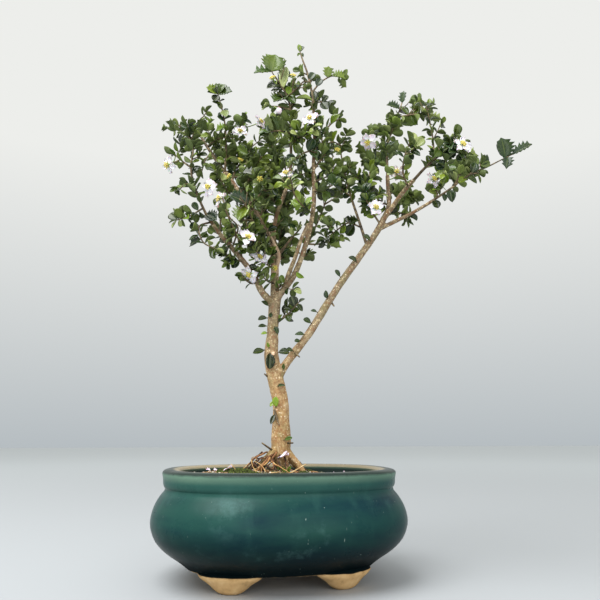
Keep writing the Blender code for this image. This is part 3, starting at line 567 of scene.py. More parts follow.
# Each limb of the wood: traced points, then its radius in mm at the foot and at the end.
limbs = {
    "trunk": ([(281, 478, 0), (281, 462, 0), (281, 442, 0), (281, 420, 0), (280.5, 402, 0), (276, 381, 0),
               (271.5, 357, 0), (272.5, 334, 0), (274, 312, 0), (275, 299, 0)], 1.0, 1.0),
    "long_limb": ([(275, 384, 0), (282, 370, -2), (291, 357, -4), (310, 332, -8), (326, 306, -10),
                   (342, 281, -12), (358, 259, -13), (376, 233, -15), (384, 218, -11)], 4.3, 3.2),
    "limb_up": ([(382, 222, -13), (388.5, 207, -4), (388.3, 192, 2), (387.5, 176, 6)], 2.7, 2.1),
    "limb_diagonal": ([(383, 220, -13), (393, 206, -20), (404, 191, -28), (414, 180, -34)], 2.6, 2.0),
    "limb_low": ([(377, 230, -15), (394, 222, -8), (414, 212, 0), (434, 200, 6)], 2.2, 1.7),
    "left_limb": ([(274, 305, 0), (262, 292, -6), (254, 276, -12), (244, 262, -18), (232, 248, -24),
                   (220, 234, -30), (206, 214, -35)], 3.6, 1.9),
    "limb_b": ([(275, 302, 0), (275, 285, 3), (274.5, 262, 8), (273, 242, 14), (266, 227, 18),
                (254, 210, 24), (240, 193, 30), (225, 172, 35)], 4.6, 2.6),
    "stub": ([(275, 272, 5), (279, 256, -3), (273, 242, -9), (263, 224, -14), (253.5, 208, -18)], 2.1, 1.7),
    "limb_c": ([(273, 242, 14), (276, 217, 8), (283, 198, 2), (289, 180, -2), (291, 160, -5)], 2.3, 1.7),
    "leader_left": ([(276, 302, 0), (284, 288, -5), (289, 273, -12), (295, 258, -18), (301, 240, -23),
                     (308, 224, -26)], 2.7, 1.7),
    "leader_right": ([(280, 294, -2), (292, 279, -6), (299, 264, -12), (305, 247, -18), (309.5, 231, -23),
                      (313, 212, -26), (314, 194, -26), (313.3, 168, -22), (314.5, 144, -16),
                      (314, 122, -10)], 3.1, 1.6),
}

# Surface roots, written as the limbs are.
roots = {
    "root_left": ([(279, 446, 0), (270, 456, -4), (262, 465, -7), (255, 476, -10)], 4.8, 2.2),
    "root_left_back": ([(279, 450, 3), (266, 460, 9), (256, 469, 15), (249, 477, 20)], 3.4, 1.4),
    "root_left_front": ([(276, 449, -5), (268, 459, -12), (263, 468, -18), (259, 479, -24)], 2.6, 1.3),
    "root_right": ([(283, 445, 0), (290, 455, -3), (298, 464, -6), (308, 478, -11)], 4.3, 2.2),
    "root_right_back": ([(283, 450, 3), (290, 460, 13), (298, 469, 22), (304, 477, 29)], 3.0, 1.4),
    "root_front": ([(284, 450, -5), (286, 461, -10), (288, 473, -16), (291, 486, -24)], 1.5, 0.9),
    "root_crossing": ([(266, 457, -8), (260, 463, -2), (253, 468, 4), (247, 474, 9)], 1.9, 1.1),
}


woodForm = {
    "footAt": (275, 462, -12),
    "trunkRadii": (6.2, 7.9, 9.7, 8.4, 7.9, 8.0, 7.4, 5.8, 5.9, 6.2),    # mm at each traced point
    "footHeight": 70,
    "sides": 20,
    "voxel": 0.78,                             # mm, the mesh that blends the forks
    "ridges": ((4.0, 14.0, 0.36), (1.6, 4.5, 0.22)),    # width, length and height in mm
    "swell": 0.07, "swellLength": 12,          # how much a limb's radius wanders, and over how many mm
    "collar": 1.06,                            # how much thicker it starts
    "grainShift": 0.31,                        # between the bark's pattern on one limb and the next
    "scarAt": (273.4, 353.5, -8.0), "scarWay": (-0.22, -0.97, 0.10), "scarRadius": 2.3,
}
woodSamples = []    # places along every limb: point, across, over, along, length so far, radius, which limb


def woodRoute(name, limb):
    points, foot, tip = limb
    if name == "trunk":
        route = smoothRoute([traced(p) for p in points], 9)
        lift = woodForm["footHeight"] * mm - route[0].z
        for i in range(9):
            route[i].z += lift * (1 - i / 9)
        radii = [r * mm for r in smoothRoute(list(woodForm["trunkRadii"]), 9)]
        return route, radii
    route = smoothRoute([traced(p) for p in points], 7)
    radii = evenRadii(route, foot * mm, tip * mm)
    for i, at in enumerate(route):
        swell = woodForm["swell"] * noise.noise(at / (woodForm["swellLength"] * mm))
        radii[i] *= 1 + swell + (woodForm["collar"] - 1) * math.exp(-i / 5)
    return route, radii


def sampleWood(number, route, radii):
    length = woodForm["grainShift"] * number
    for i, (at, radius, turns) in enumerate(zip(route, radii, routeTurns(route))):
        length += (at - route[i - 1]).length if i else 0
        woodSamples.append((at, *turns, length, radius, number))


def hollyBark():
    # thin living bark: tan and green-brown, finely ridged along the limb, with pale corky pores
    made, add, place = newMaterial("living holly bark", {"IOR": 1.45, "Roughness": 0.82})
    grain = add("Attribute", attribute_name="grain", output="Vector")
    parts = add("SeparateXYZ", [place]).node.outputs
    reach = add("MapRange", [parts["Z"], 0.09, 0.42])
    height = add("ValToRGB", [reach], ((0, "#a98554"), (0.25, "#b38f61"), (0.5, "#8f8168"),
                 (0.80, "#716450"), (1, "#584b39")))
    drawn = add("Mapping", {"Vector": grain, "Scale": (1 / 0.0020, 1 / 0.0020, 1 / 0.0090)})
    ridge = add("TexNoise", [drawn, 1, 6, 0.65])
    shade = add("MapRange", [ridge, 0.35, 0.60, 0.55, 0])
    barked = add("Mix", [shade, height, "#75603f"], data_type="RGBA")
    # a mottled skin: rusty where it is thin, straw coloured where it flakes
    mottle = add("TexNoise", [grain, 1 / 0.0032, 5, 0.7])
    rusty = add("MapRange", [mottle, 0.51, 0.62, 0, 0.7])
    rusted = add("Mix", [rusty, barked, "#8f5d3b"], data_type="RGBA")
    straw = add("MapRange", [mottle, 0.48, 0.38, 0, 0.65])
    mottled = add("Mix", [straw, rusted, "#d3ba8d"], data_type="RGBA")
    patch = add("TexNoise", [grain, 1 / 0.011, 4])
    green = add("MapRange", [patch, 0.54, 0.70, 0, 0.40])
    mossy = add("Mix", [green, mottled, "#7c7a4b"], data_type="RGBA")
    pale = add("MapRange", [patch, 0.44, 0.30, 0, 0.5])
    flaked = add("Mix", [pale, mossy, "#c9b592"], data_type="RGBA")
    # pores a millimetre across, three to four apart
    spread = add("Mapping", {"Vector": grain, "Scale": (1 / 0.0034, 1 / 0.0034, 1 / 0.0030)})
    pores = add("TexVoronoi", [spread, 1])
    sized = add("Math", [mottle, 0.45, pores], operation="MULTIPLY_ADD")
    dots = add("MapRange", [sized, 0.46, 0.34, 0, 0.88])
    dotted = add("Mix", [dots, flaked, "#ebd5b4"], data_type="RGBA")
    # a green film on the left side of the foot, and where it goes into the soil a dark brown of wet staining
    # and painted shade
    footAt = traced(woodForm["footAt"])
    film = add("MapRange", [parts["Z"], footAt.z + 0.020, footAt.z + 0.008, 0, 0.6])
    # painted shade mixed with wet staining, darkest where the wood goes into the soil
    wet = add("MapRange", [parts["Z"], footAt.z + 0.006, footAt.z - 0.004, 0, 0.85])
    left = add("MapRange", [parts["X"], footAt.x + 0.005, footAt.x - 0.003, 0.05, 1])
    damp = add("Math", [wet, left], operation="MULTIPLY")
    filmed = add("Math", [film, left], operation="MULTIPLY")
    olive = add("Mix", [filmed, dotted, "#6f6436"], data_type="RGBA")
    dampAndShaded = add("Mix", [damp, olive, "#2f2317"], data_type="RGBA")
    scar = add("Attribute", attribute_name="scar", output="Fac")
    colour = add("Mix", [scar, dampAndShaded, "#e8c4a6"], data_type="RGBA")
    relief = add("Math", [dots, 0.5, ridge], operation="MULTIPLY_ADD")
    return finished(made, colour, None, relief, strength=0.45, depth=0.0007)


def growLimbs(scarAt, scarOut):
    # a tube for every limb and root and for the cut's stump, all in one rough solid
    bm = bmesh.new()
    for number, (name, limb) in enumerate({**limbs, **roots}.items()):
        route, radii = woodRoute(name, limb)
        growTube(bm, route, radii, woodForm["sides"], rounded=name != "trunk")
        sampleWood(number, route, radii)
    radius = woodForm["scarRadius"] * mm
    growTube(bm, [scarAt - 0.005 * scarOut, scarAt, scarAt + 0.0012 * scarOut],
             [radius * 1.6, radius * 1.25, radius], woodForm["sides"])
    faceOut(bm)
    return solidOf(bm)


def blendForks(rough):
    # one skin over all the tubes, softened
    blend = rough.modifiers.new("blend", "REMESH")
    blend.mode = "VOXEL"
    blend.voxel_size = woodForm["voxel"] * mm
    mesh = appliedMesh(rough)
    bpy.data.objects.remove(rough)
    bm = bmesh.new()
    bm.from_mesh(mesh)
    for _ in range(2):
        bmesh.ops.smooth_vert(bm, verts=bm.verts, factor=0.5,
                              use_axis_x=True, use_axis_y=True, use_axis_z=True)
    return bm


def buildWood():
    scarAt = traced(woodForm["scarAt"])
    scarOut = (viewTurn @ Vector(woodForm["scarWay"])).normalized()
    bm = blendForks(growLimbs(scarAt, scarOut))
    dead = list(limbs).index("stub")
    tree = KDTree(len(woodSamples))
    for i, sample in enumerate(woodSamples):
        tree.insert(sample[0], i)
    tree.balance()
    grainLayer = bm.verts.layers.float_vector.new("grain")
    scarLayer = bm.verts.layers.float.new("scar")
    bm.normal_update()
    moves = []
    for vert in bm.verts:
        at, across, over, along, length, radius, number = woodSamples[tree.find(vert.co)[1]]
        away = vert.co - at
        grain = Vector((away.dot(across), away.dot(over), length + away.dot(along)))
        lift = 0.0
        for wide, long, high in woodForm["ridges"]:
            spot = Vector((grain.x / wide, grain.y / wide, grain.z / long)) / mm
            lift += high * mm * noise.noise(spot)
        vert[grainLayer] = grain
        fromScar = vert.co - scarAt
        flat = (fromScar - fromScar.dot(scarOut) * scarOut).length
        onScar = fromScar.dot(scarOut) > 0.0002 and flat < woodForm["scarRadius"] * mm * 0.72
        vert[scarLayer] = 1.0 if onScar else 0.45 if number == dead else 0.0
        moves.append((vert, vert.normal * lift * min(1.0, radius / 0.006) * (0.2 if onScar else 1)))
    for vert, move in moves:
        vert.co += move
    piece = keepPiece("barked_wood", bm, [hollyBark()], ["wood"])
    print("wood grown,", len(piece.data.polygons), "faces")
    return piece


sparse, airy, full, dense = 0.4, 0.8, 1.2, 1.6      # how thickly a twig is leaved

# Each leafy branch: its twigs, the first one growing from the wood and the rest from the first or from
# the wood. A twig is its traced points, how thickly it is leaved, the leaves' length in millimetres, the
# share of them with spines on the edge and, where it matters, the share of the twig that is bare, from
# its foot or below zero from its tip, and how stout it is. A very stout one stays in view at its foot.
sprays = {
    "crown_c": [
        ([(291, 158, -6), (291, 130, -10), (290, 107, -12), (286, 94, -14), (278, 81, -16),
          (275, 76, -18)], full, 17, 0.12, 0.1, 1.2),
        ([(278, 84, -16), (275, 77, -18), (271.5, 71, -19)], sparse, 16, 0.1, 0.9),
        ([(290, 110, -12), (280, 107, -21), (270, 106, -27)], airy, 16, 0.08),
        ([(291, 134, -9), (280, 131, -22), (268, 132, -31)], airy, 16, 0.1),
        ([(291, 145, -8), (302, 135, -24), (309, 132, -34)], full, 16, 0.05),
        ([(287, 97, -14), (295, 90, -24), (300, 84, -28)], full, 15, 0.05)],
    "crown_leader": [
        ([(314, 120, -10), (313, 104, -5), (311, 88, -1), (307, 72, 4), (303, 61, 7),
          (300, 52, 10)], dense, 14, 0.05, -0.40, 1.25),
        ([(312, 93, -2), (321, 82, 6), (332, 76, 12), (342, 77, 16)], sparse, 17, 0.12, 0.8),
        ([(313, 104, -5), (321, 102, 8), (330, 105, 14)], airy, 16, 0.05),
        ([(310, 82, 1), (303, 82, -9), (299, 88, -16)], full, 15, 0)],
    "side_vertical": [
        ([(313.3, 170, -22), (321, 158, -14), (322, 142, -9), (322, 126, -4)], full, 16, 0.05),
        ([(322, 148, -10), (332, 142, 0), (342, 146, 8)], sparse, 16, 0.05),
        ([(322, 135, -7), (331, 124, 2), (339, 119, 6)], sparse, 17, 0.05)],
    "crown_b": [
        ([(226, 174, 35), (214, 157, 39), (206, 145, 42), (198, 133, 46), (186, 129, 46),
          (176, 124, 46)], airy, 14, 0.02, 0.1, 1.7),
        ([(202, 139, 44), (199, 124, 52), (206, 113, 58)], sparse, 14, 0.05),
        ([(211, 152, 40), (205, 161, 28), (202, 171, 20)], sparse, 15, 0),
        ([(207, 147, 42), (218, 139, 27), (231, 137, 20)], full, 16, 0.08)],
    "upright": [
        ([(225, 172, 33), (226, 142, 28), (224, 118, 24), (218, 94, 20)], full, 16, 0.1, -0.38, 1.2)],
    "crown_left": [
        ([(207, 216, -35), (200, 201, -39), (193, 182, -42), (191, 166, -43), (193, 150, -44),
          (188, 136, -42), (177, 130, -40)], airy, 15, 0.05),
        ([(191, 168, -42), (182, 161, -36), (174, 154, -30)], sparse, 15, 0.05),
        ([(195, 188, -41), (186, 184, -50), (179, 190, -56)], airy, 15, 0.05),
        ([(203, 208, -38), (190, 216, -41), (177, 220, -44)], full, 15, 0)],
    "left_drop": [
        ([(211, 222, -33), (199, 227, -42), (203, 242, -47), (216, 249, -50)], airy, 16, 0.08)],
    "left_inner": [
        ([(220, 234, -30), (221, 218, -14), (226, 204, -4)], sparse, 16, 0.05)],
    "left_base": [
        ([(244, 262, -18), (234, 259, -28), (222, 252, -36)], full, 15, 0.05)],
    "left_root": [
        ([(257, 283, -9), (250, 283, -20), (242, 276, -28)], airy, 14, 0)],
    "front_left": [
        ([(242, 259, -19), (238, 238, -38), (228, 216, -54), (222, 196, -64)], airy, 16, 0.05)],
    "left_back": [
        ([(232, 182, 33), (237, 160, 48), (242, 124, 60)], full, 16, 0.08),
        ([(237, 160, 48), (248, 150, 42), (259, 141, 38)], sparse, 16, 0.06)],
    "b_middle": [
        ([(241, 194, 30), (249, 180, 14), (255, 167, 4), (262, 156, -4)], dense, 16, 0.06),
        ([(248, 182, 16), (246, 166, 22), (250, 150, 20)], full, 16, 0.06)],
    "stub_shoot": [
        ([(255, 212, -13), (247, 205, -27), (239, 209, -38)], airy, 17, 0.08),
        ([(248, 206, -26), (258, 197, -38), (264, 186, -46)], full, 16, 0.08)],
    "b_low": [
        ([(267, 229, 17), (258, 220, 36), (250, 204, 48), (246, 190, 54)], dense, 16, 0.05)],
    "c_low": [
        ([(280, 206, 5), (270, 197, -10), (262, 186, -19), (256, 176, -26)], dense, 16, 0.08)],
    "c_right": [
        ([(290.5, 167, -4), (297, 179, -4), (304, 188, -2)], airy, 15, 0.05)],
    "c_back": [
        ([(290, 174, -3), (281, 168, 12), (272, 168, 26)], dense, 17, 0.12)],
    "leader_front": [
        ([(312.5, 214, -26), (303, 206, -44), (295, 196, -58), (291, 180, -68)], full, 16, 0.05)],
    "leader_out": [
        ([(314, 192, -26), (324, 189, -40), (335, 184, -50)], airy, 16, 0.05)],
    "leader_back": [
        ([(313.5, 182, -24), (324, 178, -6), (338, 172, 4)], airy, 16, 0)],
    "leader_in": [
        ([(314.3, 150, -17), (304, 153, -32), (295, 160, -42)], airy, 16, 0.05)],
    "low_right": [
        ([(307, 244, -20), (319, 244, -15), (331, 239, -10)], sparse, 15, 0.05)],
    "limb_twig": [
        ([(367, 246, -14), (360, 224, -6), (352, 200, 4), (347, 182, 10), (342, 160, 14),
          (340, 143, 18)], airy, 14, 0, 0.42, 1.2),
        ([(361, 227, -7), (348, 223, -16), (336, 231, -20), (324, 240, -24)], airy, 16, 0.05)],
    "limb_middle": [
        ([(380, 224, -14), (370, 207, -16), (368, 187, -14), (372, 160, -11)], dense, 15, 0.08)],
    "crown_up": [
        ([(387.6, 180, 5), (387, 160, 10), (387, 147, 12), (391, 132, 16), (397, 117, 18),
          (402, 103, 20)], full, 17, 0.1, 0.22, 1.25),
        ([(390, 137, 15), (383, 133, 24), (377, 130, 30)], dense, 15, 0.05),
        ([(397, 117, 18), (410, 115, 10), (422, 113, 4)], full, 17, 0.08),
        ([(387, 163, 9), (376, 160, 18), (364, 152, 24)], airy, 16, 0.05)],
    "up_side": [
        ([(388.3, 194, 1), (399, 192, 16), (411, 196, 26)], dense, 17, 0.05)],
    "crown_diagonal": [
        ([(412, 182, -33), (427, 166, -42), (447, 150, -52), (457, 152, -60), (466, 157, -67)],
         full, 15, 0.05, 0.22, 1.25),
        ([(434, 160, -46), (433, 140, -44), (429, 118, -42), (426, 106, -42)], airy, 13, 0),
        ([(444, 152, -51), (446, 162, -64), (444, 174, -72)], full, 16, 0.05)],
    "diagonal_side": [
        ([(408, 187, -31), (403, 172, -46), (405, 155, -56), (410, 143, -60)], airy, 16, 0.08)],
    "crown_low": [
        ([(432, 201, 5), (450, 189, 11), (466, 177, 17), (481, 169, 20)], dense, 17, 0.05),
        ([(438, 198, 7), (436, 183, -4), (441, 170, -12)], dense, 16, 0.05),
        ([(455, 186, 13), (462, 171, 28), (469, 160, 36)], airy, 17, 0.05),
        ([(472, 173, 18), (487, 167, 23), (501, 160, 27), (513, 154, 30)], sparse, 16, 0.1, 0.95, 2.8)],
    "back_limb": [
        ([(274.6, 266, 7), (280, 238, 30), (284, 206, 54), (280, 172, 72), (272, 140, 86),
          (270, 128, 92)], dense, 16, 0.05),
        ([(284, 206, 54), (272, 198, 66), (262, 186, 76)], full, 16, 0.05)],
    "back_right": [
        ([(296, 270, -9), (303, 253, 12), (315, 228, 38), (326, 200, 58), (332, 168, 72),
          (332, 142, 82)], sparse, 16, 0.05),
        ([(325, 204, 56), (338, 196, 68), (350, 186, 74)], sparse, 16, 0.05)],
    "trunk_shoot": [
        ([(274, 325, 0), (287, 315, -9), (300, 301, -14)], airy, 14, 0)],
    "inner_shoots": [
        ([(277, 258, 2), (284, 248, -6), (291, 239, -12), (299, 230, -18)], airy, 14, 0, 0.7, 1.3),
        ([(244, 236, -30), (238, 228, -34), (231, 219, -38), (226, 212, -40)], sparse, 14, 0, 0.7),
        ([(268, 252, -4), (258, 242, -20), (250, 234, -30), (246, 222, -38)], dense, 15, 0),
        ([(274, 250, 8), (262, 246, 20), (250, 240, 28)], airy, 15, 0),
        ([(275, 270, 5), (264, 262, -10), (256, 250, -20)], airy, 15, 0),
        ([(275, 262, 8), (285, 252, 18), (293, 243, 24)], full, 15, 0),
        ([(276, 290, -3), (286, 282, -14), (297, 271, -20)], dense, 14, 0),
        ([(275, 285, 3), (266, 280, -12), (258, 268, -20)], full, 14, 0),
        ([(270, 236, 16), (262, 228, 4), (252, 222, -6)], dense, 16, 0.05),
        ([(275, 226, 10), (284, 218, 22), (290, 208, 30)], full, 15, 0),
        ([(262, 232, -16), (254, 222, -28), (247, 208, -36), (240, 196, -40)], dense, 15, 0),
        ([(272, 243, -10), (267, 230, -28), (262, 220, -36), (262, 206, -42)], full, 15, 0),
        ([(240, 200, 28), (230, 194, 12), (222, 182, 0), (216, 172, -6)], dense, 15, 0),
        ([(388, 205, -4), (377, 203, 6), (366, 208, 12)], dense, 15, 0),
        ([(386, 212, -8), (397, 212, 4), (406, 216, 10)], dense, 14, 0),
        ([(232, 248, -24), (226, 238, -12), (214, 232, -4)], sparse, 15, 0)],
}

# leaves that stand out in the view, by branch: foot, which way in the view, length in mm, width beside
# its kind's own, kind, tone from dark to pale, which also paints the leaf's light and shade, and, where it
# matters, how young
handLeaves = {
    "crown_c": [
        ((271.7, 71.5, -19), (0.22, -0.3, 1), 18, 1.4, "holly", 0.72),
        ((271.5, 71.5, -19), (-1, -0.4, -0.2), 19, 0.9, "spiny", 0.6),
        ((283, 89, -14), (0.12, -0.2, 1), 24, 0.62, "oval", 1),
        ((278, 88, -17), (-1, -0.3, -0.05), 15, 1.0, "round", 0.12),
        ((283, 98, -13), (-0.8, -0.4, -0.7), 19, 1.0, "holly", 0.5),
        ((279, 99, -16), (-0.9, -0.4, 0.1), 12, 0.9, "oval", 0.2),
        ((284, 97, -12), (0.7, -0.4, -0.8), 14.5, 1.0, "oval", 0.55)],
    "crown_leader": [
        ((298, 51.5, 10), (-0.15, -0.2, 1), 8.5, 0.9, "oval", 0.85, 0.3),
        ((300, 51, 10), (0.5, -0.3, 0.9), 7, 1.1, "round", 0.15),
        ((300, 53, 9), (0.7, -0.4, -0.9), 5.5, 1.0, "oval", 0.3),
        ((299, 53, 9), (-0.7, -0.4, -0.7), 5, 1.0, "oval", 0.6),
        ((329, 77, 8), (0.1, -0.3, 1), 12, 1.2, "spiny", 0.75),
        ((333, 76, 10), (1, -0.3, -0.15), 15.5, 0.8, "holly", 0.8),
        ((317, 84, 0), (0.5, -0.3, 0.9), 9.5, 1.1, "round", 0.12),
        ((311, 79, 0), (0.5, -0.3, 0.8), 9.5, 1.1, "round", 0.2),
        ((329, 98, 8), (1, -0.3, 0.15), 9.5, 0.8, "oval", 0.05),
        ((325, 99, 4), (0.6, -0.4, -0.9), 12, 1.15, "round", 0.15),
        ((325, 92, 3), (0.5, -0.4, 0.5), 8.5, 1.1, "round", 0.15),
        ((318, 94, 0), (0.1, -0.4, -0.9), 11, 1.1, "round", 0.1),
        ((309, 100, -6), (-1, -0.4, 0.15), 18, 0.5, "oval", 0.9, 0.25),
        ((307, 79, -2), (-0.9, -0.4, 0.1), 8.5, 1.0, "round", 0.3)],
    "upright": [
        ((217, 91, 20), (-1, -0.3, 0.4), 14, 0.9, "holly", 0.8),
        ((219, 90, 20), (0.5, -0.3, 0.8), 13, 1.0, "spiny", 0.5),
        ((219, 93, 21), (-1, -0.3, -0.1), 12, 0.9, "oval", 0.35),
        ((218, 92, 20), (-0.2, -0.3, 1), 12, 0.9, "spiny", 0.45),
        ((220, 92, 20), (1, -0.3, 0.15), 16, 1.0, "holly", 0.4),
        ((217, 95, 20), (-0.4, -0.3, -0.9), 11, 1.1, "round", 0.04),
        ((218, 93, 20), (-0.2, -0.4, 0.9), 8.5, 1.0, "oval", 0.15),
        ((223, 100, 21), (1, -0.3, 0.05), 6, 0.9, "oval", 0),
        ((224, 112, 23), (1, -0.3, 0.5), 7, 1.0, "oval", 0),
        ((226, 111, 24), (0.5, -0.4, -0.9), 13, 1.1, "oval", 0.92),
        ((223, 104, 22), (-1, -0.4, 0.3), 10, 0.9, "oval", 0.3),
        ((226, 119, 25), (1, -0.4, 0.3), 9, 0.9, "oval", 0.5),
        ((225, 122, 25), (-0.9, -0.4, 0.4), 9.5, 0.9, "round", 0.2),
        ((222, 110, 23), (-0.5, -0.3, 0.9), 9.5, 0.9, "oval", 0.66),
        ((224, 114, 24), (-1, -0.3, -0.1), 6, 1.0, "round", 0)],
    "crown_low": [
        ((506, 159, 28), (-0.22, -0.3, 1), 22, 1.15, "holly", 0.36),
        ((512, 155, 30), (1, -0.2, 0.4), 23, 0.5, "holly", 0.36),
        ((508, 157, 29), (-0.2, -0.3, -1), 14, 1.1, "spiny", 0.25),
        ((450, 190, 11), (0.2, -0.3, -1), 14, 1.05, "oval", 0.25),
        ((444, 193, 9), (0.05, -0.3, -1), 9.5, 0.9, "oval", 0.35),
        ((434, 200, 5), (0.3, -0.3, -1), 12, 0.9, "round", 0.2),
        ((467, 176, 16), (0.9, -0.3, -0.7), 13, 0.9, "oval", 0.3),
        ((466, 178, 16), (-0.7, -0.3, -0.7), 13, 0.9, "oval", 0.75),
        ((472, 173, 18), (0.3, -0.3, 1), 12, 1.0, "round", 0.2)],
    "crown_up": [
        ((402, 103, 20), (0.1, -0.3, 1), 13, 0.8, "spiny", 0.4),
        ((400, 108, 19), (-0.9, -0.3, 0.2), 15.5, 0.8, "holly", 0.3),
        ((401, 106, 19), (0.5, -0.4, -0.8), 14.5, 0.8, "oval", 0.5)],
    "crown_diagonal": [
        ((426, 106, -42), (-0.9, -0.3, 0.1), 11, 0.9, "oval", 0.25),
        ((426, 106, -42), (1, -0.3, 0.1), 9.5, 0.6, "oval", 0.1),
        ((429, 120, -42), (1, -0.3, 0.2), 9.5, 0.6, "oval", 0.2)],
    "trunk_shoot": [
        ((294, 306, -12), (-0.3, -0.3, 1), 11, 1.15, "round", 0.04),
        ((298, 304, -13), (0.6, -0.4, -0.9), 9, 0.9, "oval", 0.15),
        ((291, 310, -10), (-1, -0.3, 0.3), 8, 1.0, "oval", 0.1),
        ((283, 317, -6), (-0.6, -0.4, -0.6), 7, 0.9, "oval", 0.1),
        ((288, 316, -9), (0.3, -0.4, -0.9), 9.5, 1.0, "oval", 0.4),
        ((299, 303, -14), (0.8, -0.3, 0.6), 7, 0.8, "oval", 0.2)],
    "stub_shoot": [
        ((247, 207, -28), (-0.3, -0.4, -1), 23, 0.75, "holly", 0.8),
        ((250, 205, -27), (-1, -0.3, 0.45), 22, 0.8, "holly", 0.12)],
    "crown_left": [
        ((206, 214, -36), (0.8, -0.3, -0.6), 15, 0.9, "holly", 0.03)],
    "leader_front": [
        ((299, 201, -50), (-0.3, -0.3, 1), 13, 0.8, "oval", 0.85, 0.2)],
    "leader_in": [
        ((313, 150, -18), (0.3, -0.5, 0.8), 13, 0.9, "oval", 0.35),
        ((311, 151, -22), (0.5, -0.6, -0.7), 12, 0.9, "round", 0.5),
        ((308, 152, -26), (0.45, -0.5, 0.9), 13, 1.0, "round", 0.25)],
}

leafForm = {
    "rows": 4,
    "thickness": 0.030,             # share of the length
    "roundShare": 0.72,             # a round leaf's length beside that of a spiny one on the same twig
    "internode": 4.5,               # mm between pairs
    "bareFoot": 0.10,
    "shootEvery": 0.32, "shootLength": (6, 15), "shootPairs": 5, "shootSpan": (0.2, 1.0),
    "curls": ((0.10, 0.24), (0.24, 0.42), (-0.10, 0.32)),    # down along the blade, up across it
    "twigRadii": (1.15, 0.55),      # mm
    "young": 0.04,                  # share of bright new leaves
    "tries": 12, "shrink": 0.96,    # how often a leaf looks for room, and how it shrinks each time
    "foot": 0.6,                    # mm from a leaf's foot to where its blade can meet others
    "clear": 4,                     # mm round the foot of a listed leaf
    "margin": 2, "behind": 4,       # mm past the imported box, and behind what stays in view
    "veryStout": 1.5, "stoutView": 0.6,    # a twig stouter than this stays in view as far as this
}
Twig = namedtuple("Twig", "points leafed length spiny bare stout", defaults=(leafForm["bareFoot"], 1))

# each kind of blade: share of the length along, half width and rise of its edge, from foot to tip
leafKinds = {
    "round": ((0, 0, 0), (0.07, 0.10, 0.01), (0.24, 0.27, 0.03), (0.44, 0.37, 0.05), (0.64, 0.40, 0.05),
              (0.82, 0.34, 0.03), (0.95, 0.18, 0.01), (1, 0, 0)),
    "oval": ((0, 0, 0), (0.08, 0.11, 0.01), (0.28, 0.27, 0.04), (0.50, 0.33, 0.06), (0.72, 0.28, 0.04),
             (0.90, 0.15, 0.01), (1, 0, 0)),
    "holly": ((0, 0, 0), (0.05, 0.09, 0), (0.14, 0.32, 0.10), (0.19, 0.26, -0.01), (0.30, 0.44, 0.12),
              (0.36, 0.34, -0.01), (0.48, 0.50, 0.12), (0.54, 0.38, -0.01), (0.66, 0.48, 0.12),
              (0.72, 0.32, -0.01), (0.83, 0.36, 0.08), (0.89, 0.15, 0), (1, 0, -0.03)),
    "spiny": ((0, 0, 0), (0.10, 0.13, 0), (0.25, 0.36, 0.10), (0.33, 0.21, -0.01), (0.51, 0.44, 0.12),
              (0.60, 0.25, -0.01), (0.78, 0.38, 0.09), (0.86, 0.14, 0), (1, 0, -0.04)),
}


def newFoliage():
    # a bmesh for leaves: a flat map for the veins, and tone, underside and youth as a colour
    bm = bmesh.new()
    bm.loops.layers.uv.new("leafUV")
    return bm, bm.loops.layers.float_color.new("leafLook")


def bladeMesh(kind, curl, fold):
    # a grid shaped to the outline and thickened, one unit long; between its spines a blade keeps its width
    bm, look = newFoliage()
    outline = leafKinds[kind]
    steps = len(outline) - 1
    bmesh.ops.create_grid(bm, x_segments=steps, y_segments=leafForm["rows"], size=0.5, calc_uvs=True)
    for vert in bm.verts:
        along, half, rise = outline[round((vert.co.x + 0.5) * steps)]
        share = vert.co.y * 2
        inner = half
        if kind in ("holly", "spiny"):
            inner = 0.36 * math.sin(math.pi * min(1, along * 1.04)) ** 0.7
        across = share * (half if abs(share) > 0.9 else min(inner, half + 0.12))
        vert.co = (along, across, fold * abs(across) + rise * abs(share) ** 3 - curl * along ** 2)
    bmesh.ops.remove_doubles(bm, verts=bm.verts, dist=0.004)
    faceOut(bm)
    bmesh.ops.solidify(bm, geom=bm.faces[:], thickness=leafForm["thickness"])
    faceOut(bm)
    for face in bm.faces:
        setAttribute([face], look, (0, 1 if face.normal.z < -0.2 else 0, 0, 1))
    return written("leaf", bm)


def leafTemplates():
    return {kind: [bladeMesh(kind, *curl) for curl in leafForm["curls"]] for kind in leafKinds}


class Crowd:
    # everything placed so far, so that what comes next keeps clear of it
    def __init__(self):
        self.trees = []

    def add(self, verts, faces):
        self.trees.append((*boxOf(verts), BVHTree.FromPolygons(verts, faces)))
        return len(self.trees) - 1

    def meets(self, verts, faces, skip):
        low, high = boxOf(verts)
        own = None
        for number, (at, to, tree) in enumerate(self.trees):
            if number == skip or any(at[i] > high[i] or to[i] < low[i] for i in range(3)):
                continue
            own = own or BVHTree.FromPolygons(verts, faces)
            if tree.overlap(own):
                return True
        return False


crowd = Crowd()
keptViews = []      # what leaves mustn't hide from the camera: column, row, distance and radius


def keepInView(route, radius):
    for at in route:
        keptViews.append((*seenAt(at), radius))


def hides(place):
    x, y, distance = seenAt(place)
    return any(distance < far + leafForm["behind"] * mm and math.hypot(x - column, y - row) < radius
               for column, row, far, radius in keptViews)


def tooWide(verts):
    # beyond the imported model's box
    low, high = cadBounds
    margin = leafForm["margin"] * mm
    return any(v[i] < low[i] - margin or v[i] > high[i] + margin for v in verts for i in range(3))


